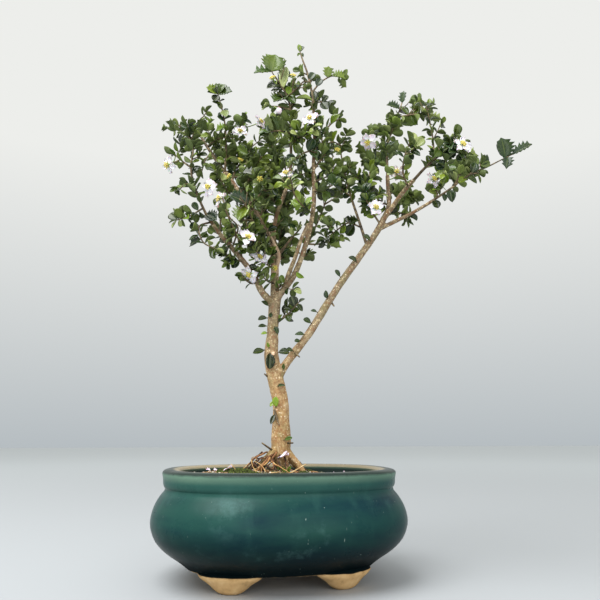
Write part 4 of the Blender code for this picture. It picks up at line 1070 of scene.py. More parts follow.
def leafSketch(base, along, across, length, wide):
    # a few faces that stand for a blade while it looks for room
    foot = base + leafForm["foot"] * mm * along
    edge = ((0.10, 0), (0.40, 0.33), (0.80, 0.30), (1, 0), (0.80, -0.30), (0.40, -0.33))
    verts = [foot + length * (x * along + y * wide * across) for x, y in edge]
    return verts, [(0, 1, 5), (1, 2, 4, 5), (2, 3, 4)]


def leafGreen():
    # small leathery evergreen leaves with a waxy skin: dark and glossy above, paler and dull below
    made, add, place = newMaterial("waxy holly leaf", {"IOR": 1.45, "Specular IOR Level": 0.44})
    look = add("Attribute", attribute_name="leafLook")
    tone, under, young = add("SeparateColor", [look]).node.outputs[:3]
    flat = add("UVMap", uv_map="leafUV")
    sides = add("SeparateXYZ", [flat]).node.outputs
    # each leaf's tone, from dark to pale, is partly its own colour and partly painted light: the pale end
    # stands for a lit or backlit leaf, the dark end for one in shade
    base = add("ValToRGB", [tone], ((0, "#0b1405"), (0.35, "#22330b"), (0.62, "#475b12"),
               (0.84, "#758628"), (1, "#adb678")))
    blotch = add("TexNoise", [place, 1 / 0.0035, 3])
    light = add("MapRange", [blotch, 0.45, 0.75, 0, 0.18])
    mottled = add("Mix", [light, base, "#6c7a33"], data_type="RGBA")
    # some branches run cooler than others
    bough = add("TexNoise", [place, 1 / 0.035, 2])
    cool = add("MapRange", [bough, 0.46, 0.62, 0, 0.45])
    cooled = add("Mix", [cool, mottled, "#24402c"], data_type="RGBA")
    fresh = add("Mix", [young, cooled, "#7f9c2c"], data_type="RGBA")
    # the midrib and five pairs of side veins, drawn at the blade's own scale
    offRib = add("Math", [sides["Y"], -0.5], operation="ADD")
    away = add("Math", [offRib], operation="ABSOLUTE")
    rib = add("MapRange", [away, 0.015, 0.055, 0.24, 0])
    slant = add("Math", [away, -0.7, sides["X"]], operation="MULTIPLY_ADD")
    waves = add("Math", [slant, 34], operation="MULTIPLY")
    vein = add("Math", [waves], operation="SINE")
    veins = add("MapRange", [vein, 0.80, 1, 0, 0.08])
    lines = add("Math", [rib, veins], operation="MAXIMUM")
    ribbed = add("Mix", [lines, fresh, "#929f57"], data_type="RGBA")
    below = add("Math", [under, 0.55], operation="MULTIPLY")
    colour = add("Mix", [below, ribbed, "#67753d"], data_type="RGBA")
    waxy = add("MapRange", [blotch, 0, 1, 0.14, 0.36])
    roughness = add("Mix", [under, waxy, 0.7])
    sunk = add("Math", [lines, -1, blotch], operation="MULTIPLY_ADD")
    return finished(made, colour, roughness, sunk, strength=0.35, depth=0.0004)


def twigBark():
    # young shoots: thin grey-brown bark that has begun to split, paler where it is new
    made, add, place = newMaterial("young twig bark", {"IOR": 1.45, "Roughness": 0.75})
    patch = add("TexNoise", [place, 1 / 0.004, 5])
    colour = add("ValToRGB", [patch], ((0.32, "#3f3527"), (0.50, "#5f5039"), (0.62, "#7b6a4c"),
                 (0.74, "#a3916e")))
    return finished(made, colour, None, patch, strength=0.5, depth=0.0004)


def leafySpan(twig):
    # the stretch of a twig that bears leaves, as shares of its length
    return (twig.bare, 1.0) if twig.bare > 0 else (leafForm["bareFoot"], 1 + twig.bare)


def growStems(twigs, woodTree):
    # the traced twigs of one leafy branch: route, radii and the twig itself
    foot, tip = (r * mm for r in leafForm["twigRadii"])
    first = Twig(*twigs[0])
    main = smoothRoute([traced(p) for p in first.points], 5)
    forked = 1.2 if len(twigs) > 1 else 1
    stems = [(main, evenRadii(main, foot * first.stout * forked, tip * first.stout), first)]
    for twig in (Twig(*row) for row in twigs[1:]):
        places = [traced(p) for p in twig.points]
        onMain = nearest((a.lerp(b, k / 4) for a, b in zip(main, main[1:]) for k in range(4)), places[0])
        onWood = woodTree.find_nearest(places[0])[0]
        places[0] = nearest((onMain, onWood), places[0])
        route = smoothRoute(places, 5)
        stems.append((route, evenRadii(route, foot * 0.85, tip), twig))
    return stems


def growShoots(stems, draw):
    # short side shoots by rule, one to a few pairs of leaves
    shoots = []
    tip = leafForm["twigRadii"][1] * mm
    for route, radii, twig in stems:
        turns = routeTurns(route)
        length = sum((b - a).length for a, b in zip(route, route[1:]))
        low, high = leafySpan(twig)
        for k in range(int(length / (leafForm["internode"] * mm))):
            share = (k + draw.uniform(0.2, 0.9)) * leafForm["internode"] * mm / length
            if not max(low, 0.16) < share < high or draw.random() > leafForm["shootEvery"] * twig.leafed:
                continue
            i = min(int(share * (len(route) - 1)), len(route) - 2)
            across, over, along = turns[i]
            angle = draw.uniform(0, 2 * math.pi)
            out = (math.cos(angle) * across + math.sin(angle) * over + draw.uniform(0.2, 0.9) * along
                   + Vector((0, 0, 0.35))).normalized()
            reach = draw.uniform(*leafForm["shootLength"]) * mm
            bend = out.lerp(Vector((0, 0, 1)), 0.35).normalized()
            at = route[i]
            shoot = [at, at + 0.35 * reach * out, at + 0.7 * reach * out + 0.05 * reach * bend,
                     at + 0.8 * reach * out + 0.3 * reach * bend]
            if not tooWide([shoot[-1]]):
                shoots.append((shoot, evenRadii(shoot, radii[i] * 0.75, tip * 0.8), twig))
    return shoots


def leafSeats(route, radii, spacing, span, draw):
    # places for leaves: three at the twig's tip, and crossed pairs along it
    turns = routeTurns(route)
    steps = [(b - a).length for a, b in zip(route, route[1:])]
    length = sum(steps)
    low, high = span
    pairs = max(1, round(length * (high - low) / spacing))
    turn = draw.uniform(0, math.pi)
    sides = [turns[-1][0] + turns[-1][2], turns[-1][2] - turns[-1][0], turns[-1][2]]
    seats = [(route[-1], side.normalized(), turns[-1], radii[-1]) for side in sides]
    for pair in range(pairs):
        along = length * (low + (high - low) * (pair + 0.75) / pairs) * draw.uniform(0.96, 1.0)
        i = 0
        while i < len(steps) - 1 and along > steps[i]:
            along -= steps[i]
            i += 1
        at = route[i].lerp(route[i + 1], min(1, along / steps[i]))
        for half in (0, 1):
            seats.append((at, turn + math.pi * half + math.pi / 2 * pair, turns[i], radii[i]))
    return seats


def aimedBlade(seat, draw):
    # a blade's foot, its way out, across and up; a seat at the tip gives its way, any other an angle
    at, turn, (across, over, along), radius = seat
    if isinstance(turn, Vector):
        out = turn + 0.4 * Vector([draw.uniform(-1, 1) for _ in range(3)])
        base = at
    else:
        turn += draw.uniform(-0.7, 0.7)
        radial = math.cos(turn) * across + math.sin(turn) * over
        out = radial + draw.uniform(0.0, 0.9) * along + draw.uniform(-0.1, 0.4) * Vector((0, 0, 1))
        base = at + 0.6 * radius * radial
    out.normalize()
    outward = (at - Vector((0, 0, at.z))).normalized()
    lean = outward * draw.uniform(0.3, 1.1) + Vector((draw.uniform(-0.9, 0.9), draw.uniform(-0.9, 0.9),
                                                      draw.uniform(0.0, 1.0)))
    normal = (lean - lean.dot(out) * out).normalized()
    return base, out, normal.cross(out), normal


def layCopy(bm, template, lay, layer, look):
    # adds a small mesh, and changes what its corners carry
    firstVert, firstFace = len(bm.verts), len(bm.faces)
    bm.from_mesh(template)
    bm.verts.ensure_lookup_table()
    bm.faces.ensure_lookup_table()
    bmesh.ops.transform(bm, matrix=lay, verts=bm.verts[firstVert:])
    for face in bm.faces[firstFace:]:
        for loop in face.loops:
            loop[layer] = look(loop[layer])


def placeBlade(bm, template, base, along, across, normal, length, wide, look):
    lay = placed(base, along * length, across * length * wide, normal * length)
    layer = bm.loops.layers.float_color["leafLook"]
    layCopy(bm, template, lay, layer, lambda was: (look[0], was[1], look[1], 1))


def leafOut(bm, seats, twig, templates, own, draw):
    # gives each seat a blade that meets nothing, hides nothing kept in view and stays in the box
    count = 0
    for seat in seats:
        spiny = draw.random() < twig.spiny
        kind = "spiny" if spiny else draw.choice(("round", "round", "oval"))
        share = draw.uniform(0.78, 1.05) if spiny else leafForm["roundShare"] * draw.uniform(0.68, 1.08)
        length = twig.length * mm * share
        wide = draw.uniform(0.72, 1.08)
        # the tone also paints the leaf's light and shade
        tone = min(0.96, max(0.0, draw.gauss(0.48, 0.36)))
        young = draw.uniform(0.5, 0.9) if draw.random() < leafForm["young"] else 0.0
        for attempt in range(leafForm["tries"]):
            base, out, across, normal = aimedBlade(seat, draw)
            size = length * leafForm["shrink"] ** attempt
            sketch = leafSketch(base, out, across, size, wide)
            if tooWide(sketch[0]) or hides(base + 0.5 * size * out) or crowd.meets(*sketch, own):
                continue
            crowd.add(*sketch)
            placeBlade(bm, draw.choice(templates[kind]), base, out, across, normal, size, wide, (tone, young))
            count += 1
            break
    return count


def setLeaf(bm, templates, draw, base, way, length, wide, kind, tone, young=0):
    # one listed leaf, its upper face turned to the front; gives back its sketch
    out = (viewTurn @ Vector(way)).normalized()
    lean = viewTurn @ Vector((draw.uniform(-0.3, 0.3), -0.9, 0.45))
    normal = (lean - lean.dot(out) * out).normalized()
    across = normal.cross(out)
    placeBlade(bm, draw.choice(templates[kind]), base, out, across, normal, length * mm, wide, (tone, young))
    keptViews.append((*seenAt(base + 0.5 * length * mm * out), 0.5 * length + 2.5))
    return leafSketch(base, out, across, length * mm, wide)


def growBranches(woodTree):
    # the stems of each leafy branch, with the stretches of them that stay in view
    grown = {}
    for name, twigs in sprays.items():
        stems = growStems(twigs, woodTree)
        shoots = growShoots(stems, random.Random("stems " + name))
        bm, _ = newFoliage()
        for route, radii, _ in stems:
            growTube(bm, route, radii, 6, rounded=True)
        for route, radii, _ in shoots:
            growTube(bm, route, radii, 5, rounded=True)
        giveFinish(bm, 1)
        faceOut(bm)
        bm.verts.index_update()
        own = crowd.add([v.co.copy() for v in bm.verts], [tuple(v.index for v in f.verts) for f in bm.faces])
        for route, _, twig in stems:
            low, high = leafySpan(twig)
            low = leafForm["stoutView"] if twig.stout > leafForm["veryStout"] else low
            if low > 0.2:
                keepInView(route[:int(low * len(route))], 3)
            keepInView(route[int(high * len(route)):-2], 3)
        grown[name] = (bm, stems, shoots, own)
    return grown


def setByHand(grown, templates):
    # the leaves that stand out; gives back where they grow from
    feet = []
    for name, leaves in handLeaves.items():
        draw = random.Random("set leaves " + name)
        bm, stems, _, _ = grown[name]
        onStems = [a.lerp(b, k / 4) for route, _, _ in stems for a, b in zip(route, route[1:])
                   for k in range(5)]
        for spot, *form in leaves:
            feet.append(nearest(onStems, traced(spot)))
            crowd.add(*setLeaf(bm, templates, draw, feet[-1], *form))
    return feet


def buildSprays(templates, woodTree, bloomOn):
    # every stem first, then the flowers, then the leaves, so that nothing is hidden or cut through
    grown = growBranches(woodTree)
    bloomOn([at for _, stems, _, _ in grown.values() for route, _, _ in stems for at in route])
    finishes = [leafGreen(), twigBark()]
    feet = setByHand(grown, templates)
    total = len(feet)
    for name, (bm, stems, shoots, own) in grown.items():
        draw = random.Random("leaves " + name)
        for route, radii, twig in stems:
            seats = leafSeats(route, radii, leafForm["internode"] * mm / twig.leafed, leafySpan(twig), draw)
            clear = leafForm["clear"] * mm
            seats = [seat for seat in seats if all((seat[0] - foot).length > clear for foot in feet)]
            total += leafOut(bm, seats, twig, templates, own, draw)
        for route, radii, twig in shoots:
            seats = leafSeats(route, radii, leafForm["shootPairs"] * mm, leafForm["shootSpan"], draw)
            total += leafOut(bm, seats, twig, templates, own, draw)
        nodes = ["spray_" + name] if "spray_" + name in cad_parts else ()
        keepPiece("leafy_" + name, bm, finishes, nodes)
    print(total, "leaves on", len(sprays), "branches")
    return finishes


flowerForm = {
    "petal": 9.4, "stalk": 0.5,                    # mm
    "cup": (0.7, 1.7, 1.7),                        # radius below and above, height
    "sepalReach": 1.9, "sepal": 1.0,
    "filaments": 13, "filamentLength": 3.0, "anther": 0.82, "antherSpread": 3.0,
}
petalForm = {"steps": 7, "rows": 6, "thickness": 0.022, "claw": 0.26, "crinkles": 4}

# traced middle, where the flower faces in the view's own x, depth and height, how far gone it is
# and how far its petals bend back
blooms = {
    "a": ((168, 165, -30), (-0.6, -0.7, -0.4), 0, 0.4), "b": ((240, 132, 44), (0.2, -0.8, 0.5), 0, 0.2),
    "c": ((260, 122, 50), (0.7, -0.5, 0.3), 0, 0.3), "d": ((209, 187, -50), (-0.5, -0.8, -0.1), 0, 0.5),
    "e": ((248, 238, -52), (0.2, -0.8, 0.5), 0, 0.2), "f": ((250, 274, -30), (-0.5, -0.6, -0.6), 0, 0.5),
    "g": ((293, 77, -28), (0.1, -0.6, 0.6), 1, 0.1), "h": ((310, 119, -24), (-0.4, -0.8, 0.3), 0, 0.3),
    "i": ((368, 142, -22), (-0.3, -0.6, -0.7), 0, 0.7), "j": ((375, 208, -34), (0.4, -0.9, 0.2), 0, 0.3),
    "k": ((462, 145, -80), (0.35, -0.8, 0.25), 0, 0.15),
}
moreBlooms = {
    "l": ((230, 177, -6), (-0.6, -0.6, 0.3), 1, 0.6), "m": ((240, 161, 24), (0.4, -0.6, 0.6), 1, 0.2),
    "n": ((259, 179, -40), (0.5, -0.7, -0.4), 1, 0.5), "o": ((220, 199, -58), (-0.7, -0.6, 0.1), 0.3, 0.4),
    "p": ((259, 258, -16), (0.5, -0.7, 0.4), 0, 0.3), "q": ((274, 268, -10), (0.7, -0.6, -0.2), 1, 0.5),
    "r": ((286, 174, -30), (-0.2, -0.8, 0.5), 0.2, 0.3), "s": ((337, 151, 0), (0.1, -0.9, 0.4), 1, 0.3),
    "t": ((397, 172, -16), (-0.4, -0.8, -0.2), 0.5, 0.5), "u": ((433, 180, -14), (0.5, -0.7, 0.3), 0.1, 0.4),
    "w": ((273, 79, -30), (-0.3, -0.6, 0.6), 1, 0.1),
}
buds = {"x": (279, 113, -30)}


def petalTissue():
    # thin crinkled petals: white, flushed lilac-pink outwards, with fine veins, soft and dull
    made, add, place = newMaterial("crinkled white petal", {"IOR": 1.4, "Roughness": 0.65,
                                                            "Subsurface Weight": 0.15,
                                                            "Subsurface Scale": 0.002})
    look = add("Attribute", attribute_name="petalLook")
    reach, gone, flush = add("SeparateColor", [look]).node.outputs[:3]
    base = add("ValToRGB", [reach], ((0, "#e9ecd8"), (0.30, "#f7f6f4"), (0.75, "#f6f1f5"),
               (1, "#efe3ee")))
    pink = add("Mix", [flush, base, "#ead2e6"], data_type="RGBA")
    cloud = add("TexNoise", [place, 1 / 0.0012, 4])
    dull = add("MapRange", [cloud, 0.35, 0.8, 0, 0.22])
    veined = add("Mix", [dull, pink, "#d2c6d2"], data_type="RGBA")
    colour = add("Mix", [gone, veined, "#a39583"], data_type="RGBA")
    return finished(made, colour, None, cloud, strength=0.4, depth=0.0003)


def flowerGreen():
    # calyx and stalk: pale waxy green tissue with a little red where the sun reaches it
    made, add, place = newMaterial("pale green calyx", {"IOR": 1.45, "Roughness": 0.55})
    patch = add("TexNoise", [place, 1 / 0.0016, 3])
    colour = add("ValToRGB", [patch], ((0.38, "#6d8a3a"), (0.58, "#93a457"), (0.74, "#a8705c")))
    return finished(made, colour, None, patch, strength=0.3, depth=0.0002)


def pollenYellow():
    # anthers dusted with pollen on pale filaments: matt, grainy yellow
    made, add, place = newMaterial("pollen dusted anther", {"IOR": 1.4, "Roughness": 0.8})
    grain = add("TexNoise", [place, 1 / 0.0005, 2])
    colour = add("ValToRGB", [grain], ((0.34, "#b39a2c"), (0.5, "#d8c854"), (0.68, "#eee496")))
    return finished(made, colour, None, grain, strength=0.4, depth=0.0002)


def petalMesh(number):
    # a clawed petal: narrow foot, broad crinkled blade, from a grid, one unit long
    bm = bmesh.new()
    look = bm.loops.layers.float_color.new("petalLook")
    bmesh.ops.create_grid(bm, x_segments=petalForm["steps"], y_segments=petalForm["rows"], size=0.5)
    for vert in bm.verts:
        t = vert.co.x + 0.5
        share = vert.co.y * 2
        blade = min(1.0, max(0.0, (t - petalForm["claw"]) / (1 - petalForm["claw"])))
        half = 0.035 + 0.36 * math.sin(math.pi * min(blade, 0.97) ** 0.9) ** 0.6
        crinkle = noise.noise(Vector((t * 5, share * 3.4, number * 7.3)))
        edge = max(abs(share), blade ** 2)
        reach = t * (1 - 0.12 * share ** 2) * (1 + 0.09 * crinkle * edge)
        rise = 0.10 * t + 0.30 * t * t * share ** 2 + 0.22 * crinkle * edge
        vert.co = (reach, share * half * (1 + 0.2 * crinkle), rise)
    bmesh.ops.solidify(bm, geom=bm.faces[:], thickness=petalForm["thickness"])
    faceOut(bm)
    for face in bm.faces:
        for loop in face.loops:
            loop[look] = (loop.vert.co.x, 0, 0, 1)
    return written("petal", bm)


def growCalyx(bm, anchor, centre, side, over, facing):
    # the stalk, the cup at its end and five sepals round it
    middle = anchor.lerp(centre, 0.5) - 0.25 * (centre - anchor).length * facing + Vector((0, 0, -0.001))
    stalk = smoothRoute([anchor, middle, centre - 0.0016 * facing, centre], 4)
    radius = flowerForm["stalk"] * mm
    growTube(bm, stalk, evenRadii(stalk, radius, radius * 1.1), 6)
    low, high, depth = (size * mm for size in flowerForm["cup"])
    cup = bmesh.ops.create_cone(bm, cap_ends=True, segments=10, depth=depth,
                                radius1=low, radius2=high)["verts"]
    bmesh.ops.transform(bm, matrix=placed(centre - 0.0004 * facing, side, over, facing), verts=cup)
    for k in range(5):
        angle = 2 * math.pi * (k + 0.5) / 5
        out = math.cos(angle) * side + math.sin(angle) * over
        sepal = bmesh.ops.create_icosphere(bm, subdivisions=1, radius=flowerForm["sepal"] * mm)["verts"]
        lay = placed(centre + flowerForm["sepalReach"] * mm * out, out * 1.5, facing.cross(out) * 0.8,
                     facing * 0.35)
        bmesh.ops.transform(bm, matrix=lay, verts=sepal)
    giveFinish(bm, 1)


def layPetals(bm, look, centre, side, over, facing, gone, bentBack, petals, draw):
    # five petals round the middle, none on a flower that is quite gone
    start = draw.uniform(0, math.pi)
    for k in range(5 if gone < 1 else 0):
        angle = start + 2 * math.pi * (k + draw.uniform(-0.14, 0.14)) / 5
        out = math.cos(angle) * side + math.sin(angle) * over
        tilt = draw.uniform(-0.25, 0.30) - 0.5 * gone - bentBack
        along = (out + tilt * facing).normalized()
        normal = (facing - facing.dot(along) * along).normalized()
        length = flowerForm["petal"] * mm * draw.uniform(0.86, 1.06) * (1 - 0.25 * gone)
        petal = draw.choice(petals)
        wide = length * (1 - 0.5 * gone) * draw.uniform(0.9, 1.1)
        lay = placed(centre + 0.0006 * facing, along * length, normal.cross(along) * wide,
                     normal * length * (1 + gone))
        flush = draw.uniform(0.0, 0.4)
        layCopy(bm, petal, lay, look, lambda was: (was[0], gone, flush, 1))


def setAnthers(bm, centre, side, over, facing, gone, draw):
    # filaments spread evenly over a disc, each with its anther
    count = flowerForm["filaments"]
    for k in range(count):
        angle = 2 * math.pi * k * 0.618
        spread = math.sqrt((k + 0.4) / count)
        out = math.cos(angle) * side + math.sin(angle) * over
        foot = centre + 0.0007 * spread * out + 0.0006 * facing
        rise = (1 - 0.3 * gone) * flowerForm["filamentLength"] * (1 - 0.45 * spread)
        rise *= draw.uniform(0.85, 1.15)
        tip = centre + flowerForm["antherSpread"] * mm * spread * out + (0.6 + rise) * mm * facing
        growTube(bm, [foot, foot.lerp(tip, 0.5) - 0.0002 * out, tip], [0.00022, 0.0002, 0.00018], 5)
        ball = bmesh.ops.create_icosphere(bm, subdivisions=1, radius=flowerForm["anther"] * mm)["verts"]
        bmesh.ops.transform(bm, matrix=placed(tip, out, facing.cross(out) * 0.8, facing * 0.9), verts=ball)


def openFlower(name, form, stemPlaces, petals, finishes, packed):
    # one flower; a packed one stands for the solids of its name
    spot, facing, gone, bentBack = form
    draw = random.Random("flower " + name)
    centre = traced(spot)
    facing = (viewTurn @ Vector(facing)).normalized()
    side = facing.orthogonal().normalized()
    over = facing.cross(side)
    bm = bmesh.new()
    look = bm.loops.layers.float_color.new("petalLook")
    growCalyx(bm, nearest(stemPlaces, centre), centre, side, over, facing)
    layPetals(bm, look, centre, side, over, facing, gone, bentBack, petals, draw)
    faceOut(bm)
    flower = keepPiece("flower_" + name, bm, finishes[:2], ["bloom_" + name] if packed else ())
    bm = bmesh.new()
    setAnthers(bm, centre, side, over, facing, gone, draw)
    faceOut(bm)
    anthers = keepPiece("anthers_" + name, bm, finishes[2:], ["stamens_" + name] if packed else ())
    crowd.add(*shapeOf(flower.data))
    crowd.add(*shapeOf(anthers.data))
    keepInView([centre], 9 if gone < 0.5 else 6)


def budOn(name, spot, stemPlaces, finishes):
    # a closed bud: five lobed petals still wrapped round each other, on a thin stalk
    centre = traced(spot)
    anchor = nearest(stemPlaces, centre)
    bm = bmesh.new()
    look = bm.loops.layers.float_color.new("petalLook")
    stalk = smoothRoute([anchor, anchor.lerp(centre, 0.5) + Vector((0, 0, 0.0015)), centre], 4)
    growTube(bm, stalk, evenRadii(stalk, 0.0005, 0.0006), 6)
    giveFinish(bm, 1)
    wrapped = bmesh.ops.create_icosphere(bm, subdivisions=3, radius=0.0027)["verts"]
    for vert in wrapped:
        angle = math.atan2(vert.co.y, vert.co.x) + 300 * vert.co.z
        vert.co.xy *= 1 + 0.10 * math.cos(5 * angle)
        vert.co.z *= 1.2
    bmesh.ops.translate(bm, vec=centre + Vector((0, 0, 0.0022)), verts=wrapped)
    setAttribute([face for face in bm.faces if face.material_index == 0], look, (0.8, 0.1, 0.6, 1))
    bud = keepPiece("bud_" + name, bm, finishes[:2])
    crowd.add(*shapeOf(bud.data))
    keepInView([centre], 5)


def openBlooms(stemPlaces):
    petals = [petalMesh(number) for number in range(petalForm["crinkles"])]
    finishes = [petalTissue(), flowerGreen(), pollenYellow()]
    for name, form in {**blooms, **moreBlooms}.items():
        openFlower(name, form, stemPlaces, petals, finishes, name in blooms)
    for name, spot in buds.items():
        budOn(name, spot, stemPlaces, finishes)
    fallenPetals(petals, finishes)
    print(len(blooms) + len(moreBlooms), "flowers and", len(buds), "buds opened")


# petals on the ground: traced with their size beside a fresh one's, or in metres from the pot's middle
fallen = {
    "onRoots": ((283.5, 456.5, -13), 1.15),
    "onSoil": [((228, 469, -14), 0.95), ((208, 470, -6), 0.7)],
    "outOfView": [(-0.060, 0.030), (0.045, -0.030), (0.030, 0.045), (-0.035, -0.050), (0.066, 0.012)],
}


def fallenPetals(petals, finishes):
    # petals lying where they dropped, on the roots and the soil, and a few out of the camera's view
    bm = bmesh.new()
    look = bm.loops.layers.float_color.new("petalLook")
    draw = random.Random("fallen petals")
    onRoots, size = fallen["onRoots"]
    places = [(traced(onRoots), size)]
    for spot, size in fallen["onSoil"]:
        at = traced(spot)
        at.z = max(at.z, groundUnder(at) + 0.0015)
        places.append((at, size))
    for x, y in fallen["outOfView"]:
        places.append((onGround(x, y) + Vector((0, 0, 0.0014)), draw.uniform(0.6, 0.9)))
    for at, size in places:
        angle = draw.uniform(0, 2 * math.pi)
        along = Vector((math.cos(angle), math.sin(angle), draw.uniform(-0.1, 0.25))).normalized()
        normal = Vector((draw.uniform(-0.4, 0.4), draw.uniform(-0.4, 0.4), 1))
        normal = (normal - normal.dot(along) * along).normalized()
        length = flowerForm["petal"] * mm * size
        lay = placed(at - 0.5 * length * along, along * length, normal.cross(along) * length, normal * length)
        layCopy(bm, draw.choice(petals), lay, look, lambda was: (was[0], draw.uniform(0.0, 0.15), 0.8, 1))
    faceOut(bm)
    keepPiece("fallen_petals", bm, finishes[:1])


gritForm = {
    "apart": 2.35, "jitter": 0.45,        # mm between grains, and how far each strays as a share of that
    "sizes": (0.8, 1.9), "uneven": 0.30,
    "largeShare": 0.06, "large": 1.5,     # how many grains are larger, and how much
    "offWood": 1.2,
    # pumice, fired clay, and bark and lava: the share of the grains up to and with each, and its tones
    "kinds": ((0.22, (0.80, 1.0)), (0.52, (0.50, 0.76)), (1.0, (0.0, 0.45))),
}


def gravel():
    # sieved grit: white pumice, rusty akadama and dark lava and bark, dry on top
    made, add, place = newMaterial("sieved pumice and akadama grit", {"IOR": 1.45, "Roughness": 0.93})
    look = add("Attribute", attribute_name="gritLook")
    tone, age = add("SeparateColor", [look]).node.outputs[:2]
    kind = add("ValToRGB", [tone], ((0, "#33281d"), (0.42, "#5d4a35"), (0.55, "#8a6a45"),
               (0.74, "#a98c64"), (0.80, "#cfc4ab"), (1, "#e9e3d3")))
    pits = add("TexNoise", [place, 1 / 0.0007, 3])
    dark = add("MapRange", [pits, 0.55, 0.35, 0, 0.55])
    colour = add("Mix", [dark, kind, "#4a3d2e"], data_type="RGBA")
    algae = add("Mix", [age, colour, "#586132"], data_type="RGBA")
    return finished(made, algae, None, pits, strength=0.6, depth=0.0004)


def scatterGrit(woodTree):
    # a row of grains at a time, because the operators slow down as a bmesh grows
    bm = bmesh.new()
    bm.loops.layers.float_color.new("gritLook")
    draw = random.Random("grit")
    step, jitter = gritForm["apart"] * mm, gritForm["jitter"]
    count = 0
    reach = int(potForm["halfLength"] * mm / step)
    for i in range(-reach, reach + 1):
        row = bmesh.new()
        look = row.loops.layers.float_color.new("gritLook")
        for j in range(-reach, reach + 1):
            x = (i + draw.uniform(-jitter, jitter)) * step
            y = (j + draw.uniform(-jitter, jitter)) * step
            radius = draw.uniform(*gritForm["sizes"]) * mm
            radius *= gritForm["large"] if draw.random() < gritForm["largeShare"] else 1
            if math.hypot(x, y) > ovalReach(math.atan2(y, x), soilForm["litterInset"]) - radius:
                continue
            at = onGround(x, y)
            if woodTree.find_nearest(at, gritForm["offWood"] * mm)[0]:
                continue
            angle = draw.uniform(0, anyWay)
            turn = Matrix.Rotation(angle, 4, Vector((draw.random(), draw.random(), 1)).normalized())
            sizes = draw.uniform(0.8, 1.4), draw.uniform(0.6, 1.0), draw.uniform(0.5, 0.9)
            shape = Matrix.Diagonal((*sizes, 1))
            grain = bmesh.ops.create_icosphere(row, subdivisions=1, radius=radius,
                                               matrix=Matrix.Translation(at) @ turn @ shape)["verts"]
            for vert in grain:
                vert.co += radius * gritForm["uneven"] * Vector([draw.uniform(-1, 1) for _ in range(3)])
            chance = draw.random()
            tones = next(tones for share, tones in gritForm["kinds"] if chance < share)
            tone = draw.uniform(*tones)
            green = noise.noise((at - potMiddle) / 0.018) > 0.15 and draw.random() < 0.5
            faces = {face for vert in grain for face in vert.link_faces}
            setAttribute(faces, look, (tone, 0.7 if green else 0.0, 0, 1))
            count += 1
        pour(row, bm)
    faceOut(bm)
    keepPiece("soil_grit", bm, [gravel()], smooth=False)
    print(count, "grains of grit")


mossForm = {
    # where in metres from the pot's middle, radius and height in mm
    "cushions": ((-0.040, -0.018, 11, 3.2), (-0.030, -0.034, 8, 2.6), (-0.052, 0.002, 9, 2.6),
                 (-0.022, 0.022, 8, 2.8), (0.020, -0.020, 6, 2.0), (-0.064, -0.030, 6, 1.8),
                 (0.030, 0.024, 8, 2.2), (0.004, 0.040, 7, 2.2), (-0.002, -0.014, 6, 3.4)),
    "flat": 0.8,                          # depth of a cushion beside its width
    "tipsPerCm2": 70, "tip": (0.45, 0.1, 2.2),    # radius at the foot and at the end, length in mm
}


def mossGreen():
    # cushion moss: short felted shoots, yellow-green tips over a brown thatch, quite matt
    made, add, place = newMaterial("felted cushion moss", {"IOR": 1.4, "Roughness": 0.95})
    tuft = add("TexNoise", [place, 1 / 0.0014, 5])
    colour = add("ValToRGB", [tuft], ((0.32, "#22240f"), (0.48, "#3d461c"), (0.60, "#566428"),
                 (0.76, "#828b45")))
    return finished(made, colour, None, tuft, strength=0.8, depth=0.0010)


def growMoss():
    bm = bmesh.new()
    draw = random.Random("moss")
    foot, end, length = (size * mm for size in mossForm["tip"])
    for x, y, radius, rise in mossForm["cushions"]:
        at = onGround(x, y)
        cushion = bmesh.new()
        dome = bmesh.ops.create_icosphere(cushion, subdivisions=4, radius=radius * mm)["verts"]
        for vert in dome:
            wave = 1 + 0.28 * noise.noise(Vector((vert.co.x, vert.co.y, x * 40)) / (4 * mm))
            wide, deep = vert.co.x * wave, vert.co.y * wave * mossForm["flat"]
            vert.co = Vector((wide, deep, vert.co.z * rise / radius))
            vert.co += vert.normal * 0.0004 * noise.noise(vert.co / (0.9 * mm))
        bmesh.ops.translate(cushion, vec=at + Vector((0, 0, 0.0002)), verts=dome)
        for _ in range(int(mossForm["tipsPerCm2"] * math.pi * (radius / 10) ** 2 * 1.3)):
            angle, far = draw.uniform(0, anyWay), math.sqrt(draw.random()) * radius * mm * 0.98
            dx, dy = far * math.cos(angle), mossForm["flat"] * far * math.sin(angle)
            top = rise * mm * math.sqrt(max(0, 1 - (far / (radius * mm)) ** 2))
            lean = Vector((draw.uniform(-0.6, 0.6), draw.uniform(-0.6, 0.6), 1)).normalized()
            turn = lean.to_track_quat("Z", "Y").to_matrix().to_4x4()
            spot = Matrix.Translation(at + Vector((dx, dy, top + 0.0006))) @ turn
            bmesh.ops.create_cone(cushion, cap_ends=True, segments=4, radius1=foot, radius2=end,
                                  depth=length, matrix=spot)
        pour(cushion, bm)
    faceOut(bm)
    keepPiece("cushion_moss", bm, [mossGreen()])
    print("moss grown")


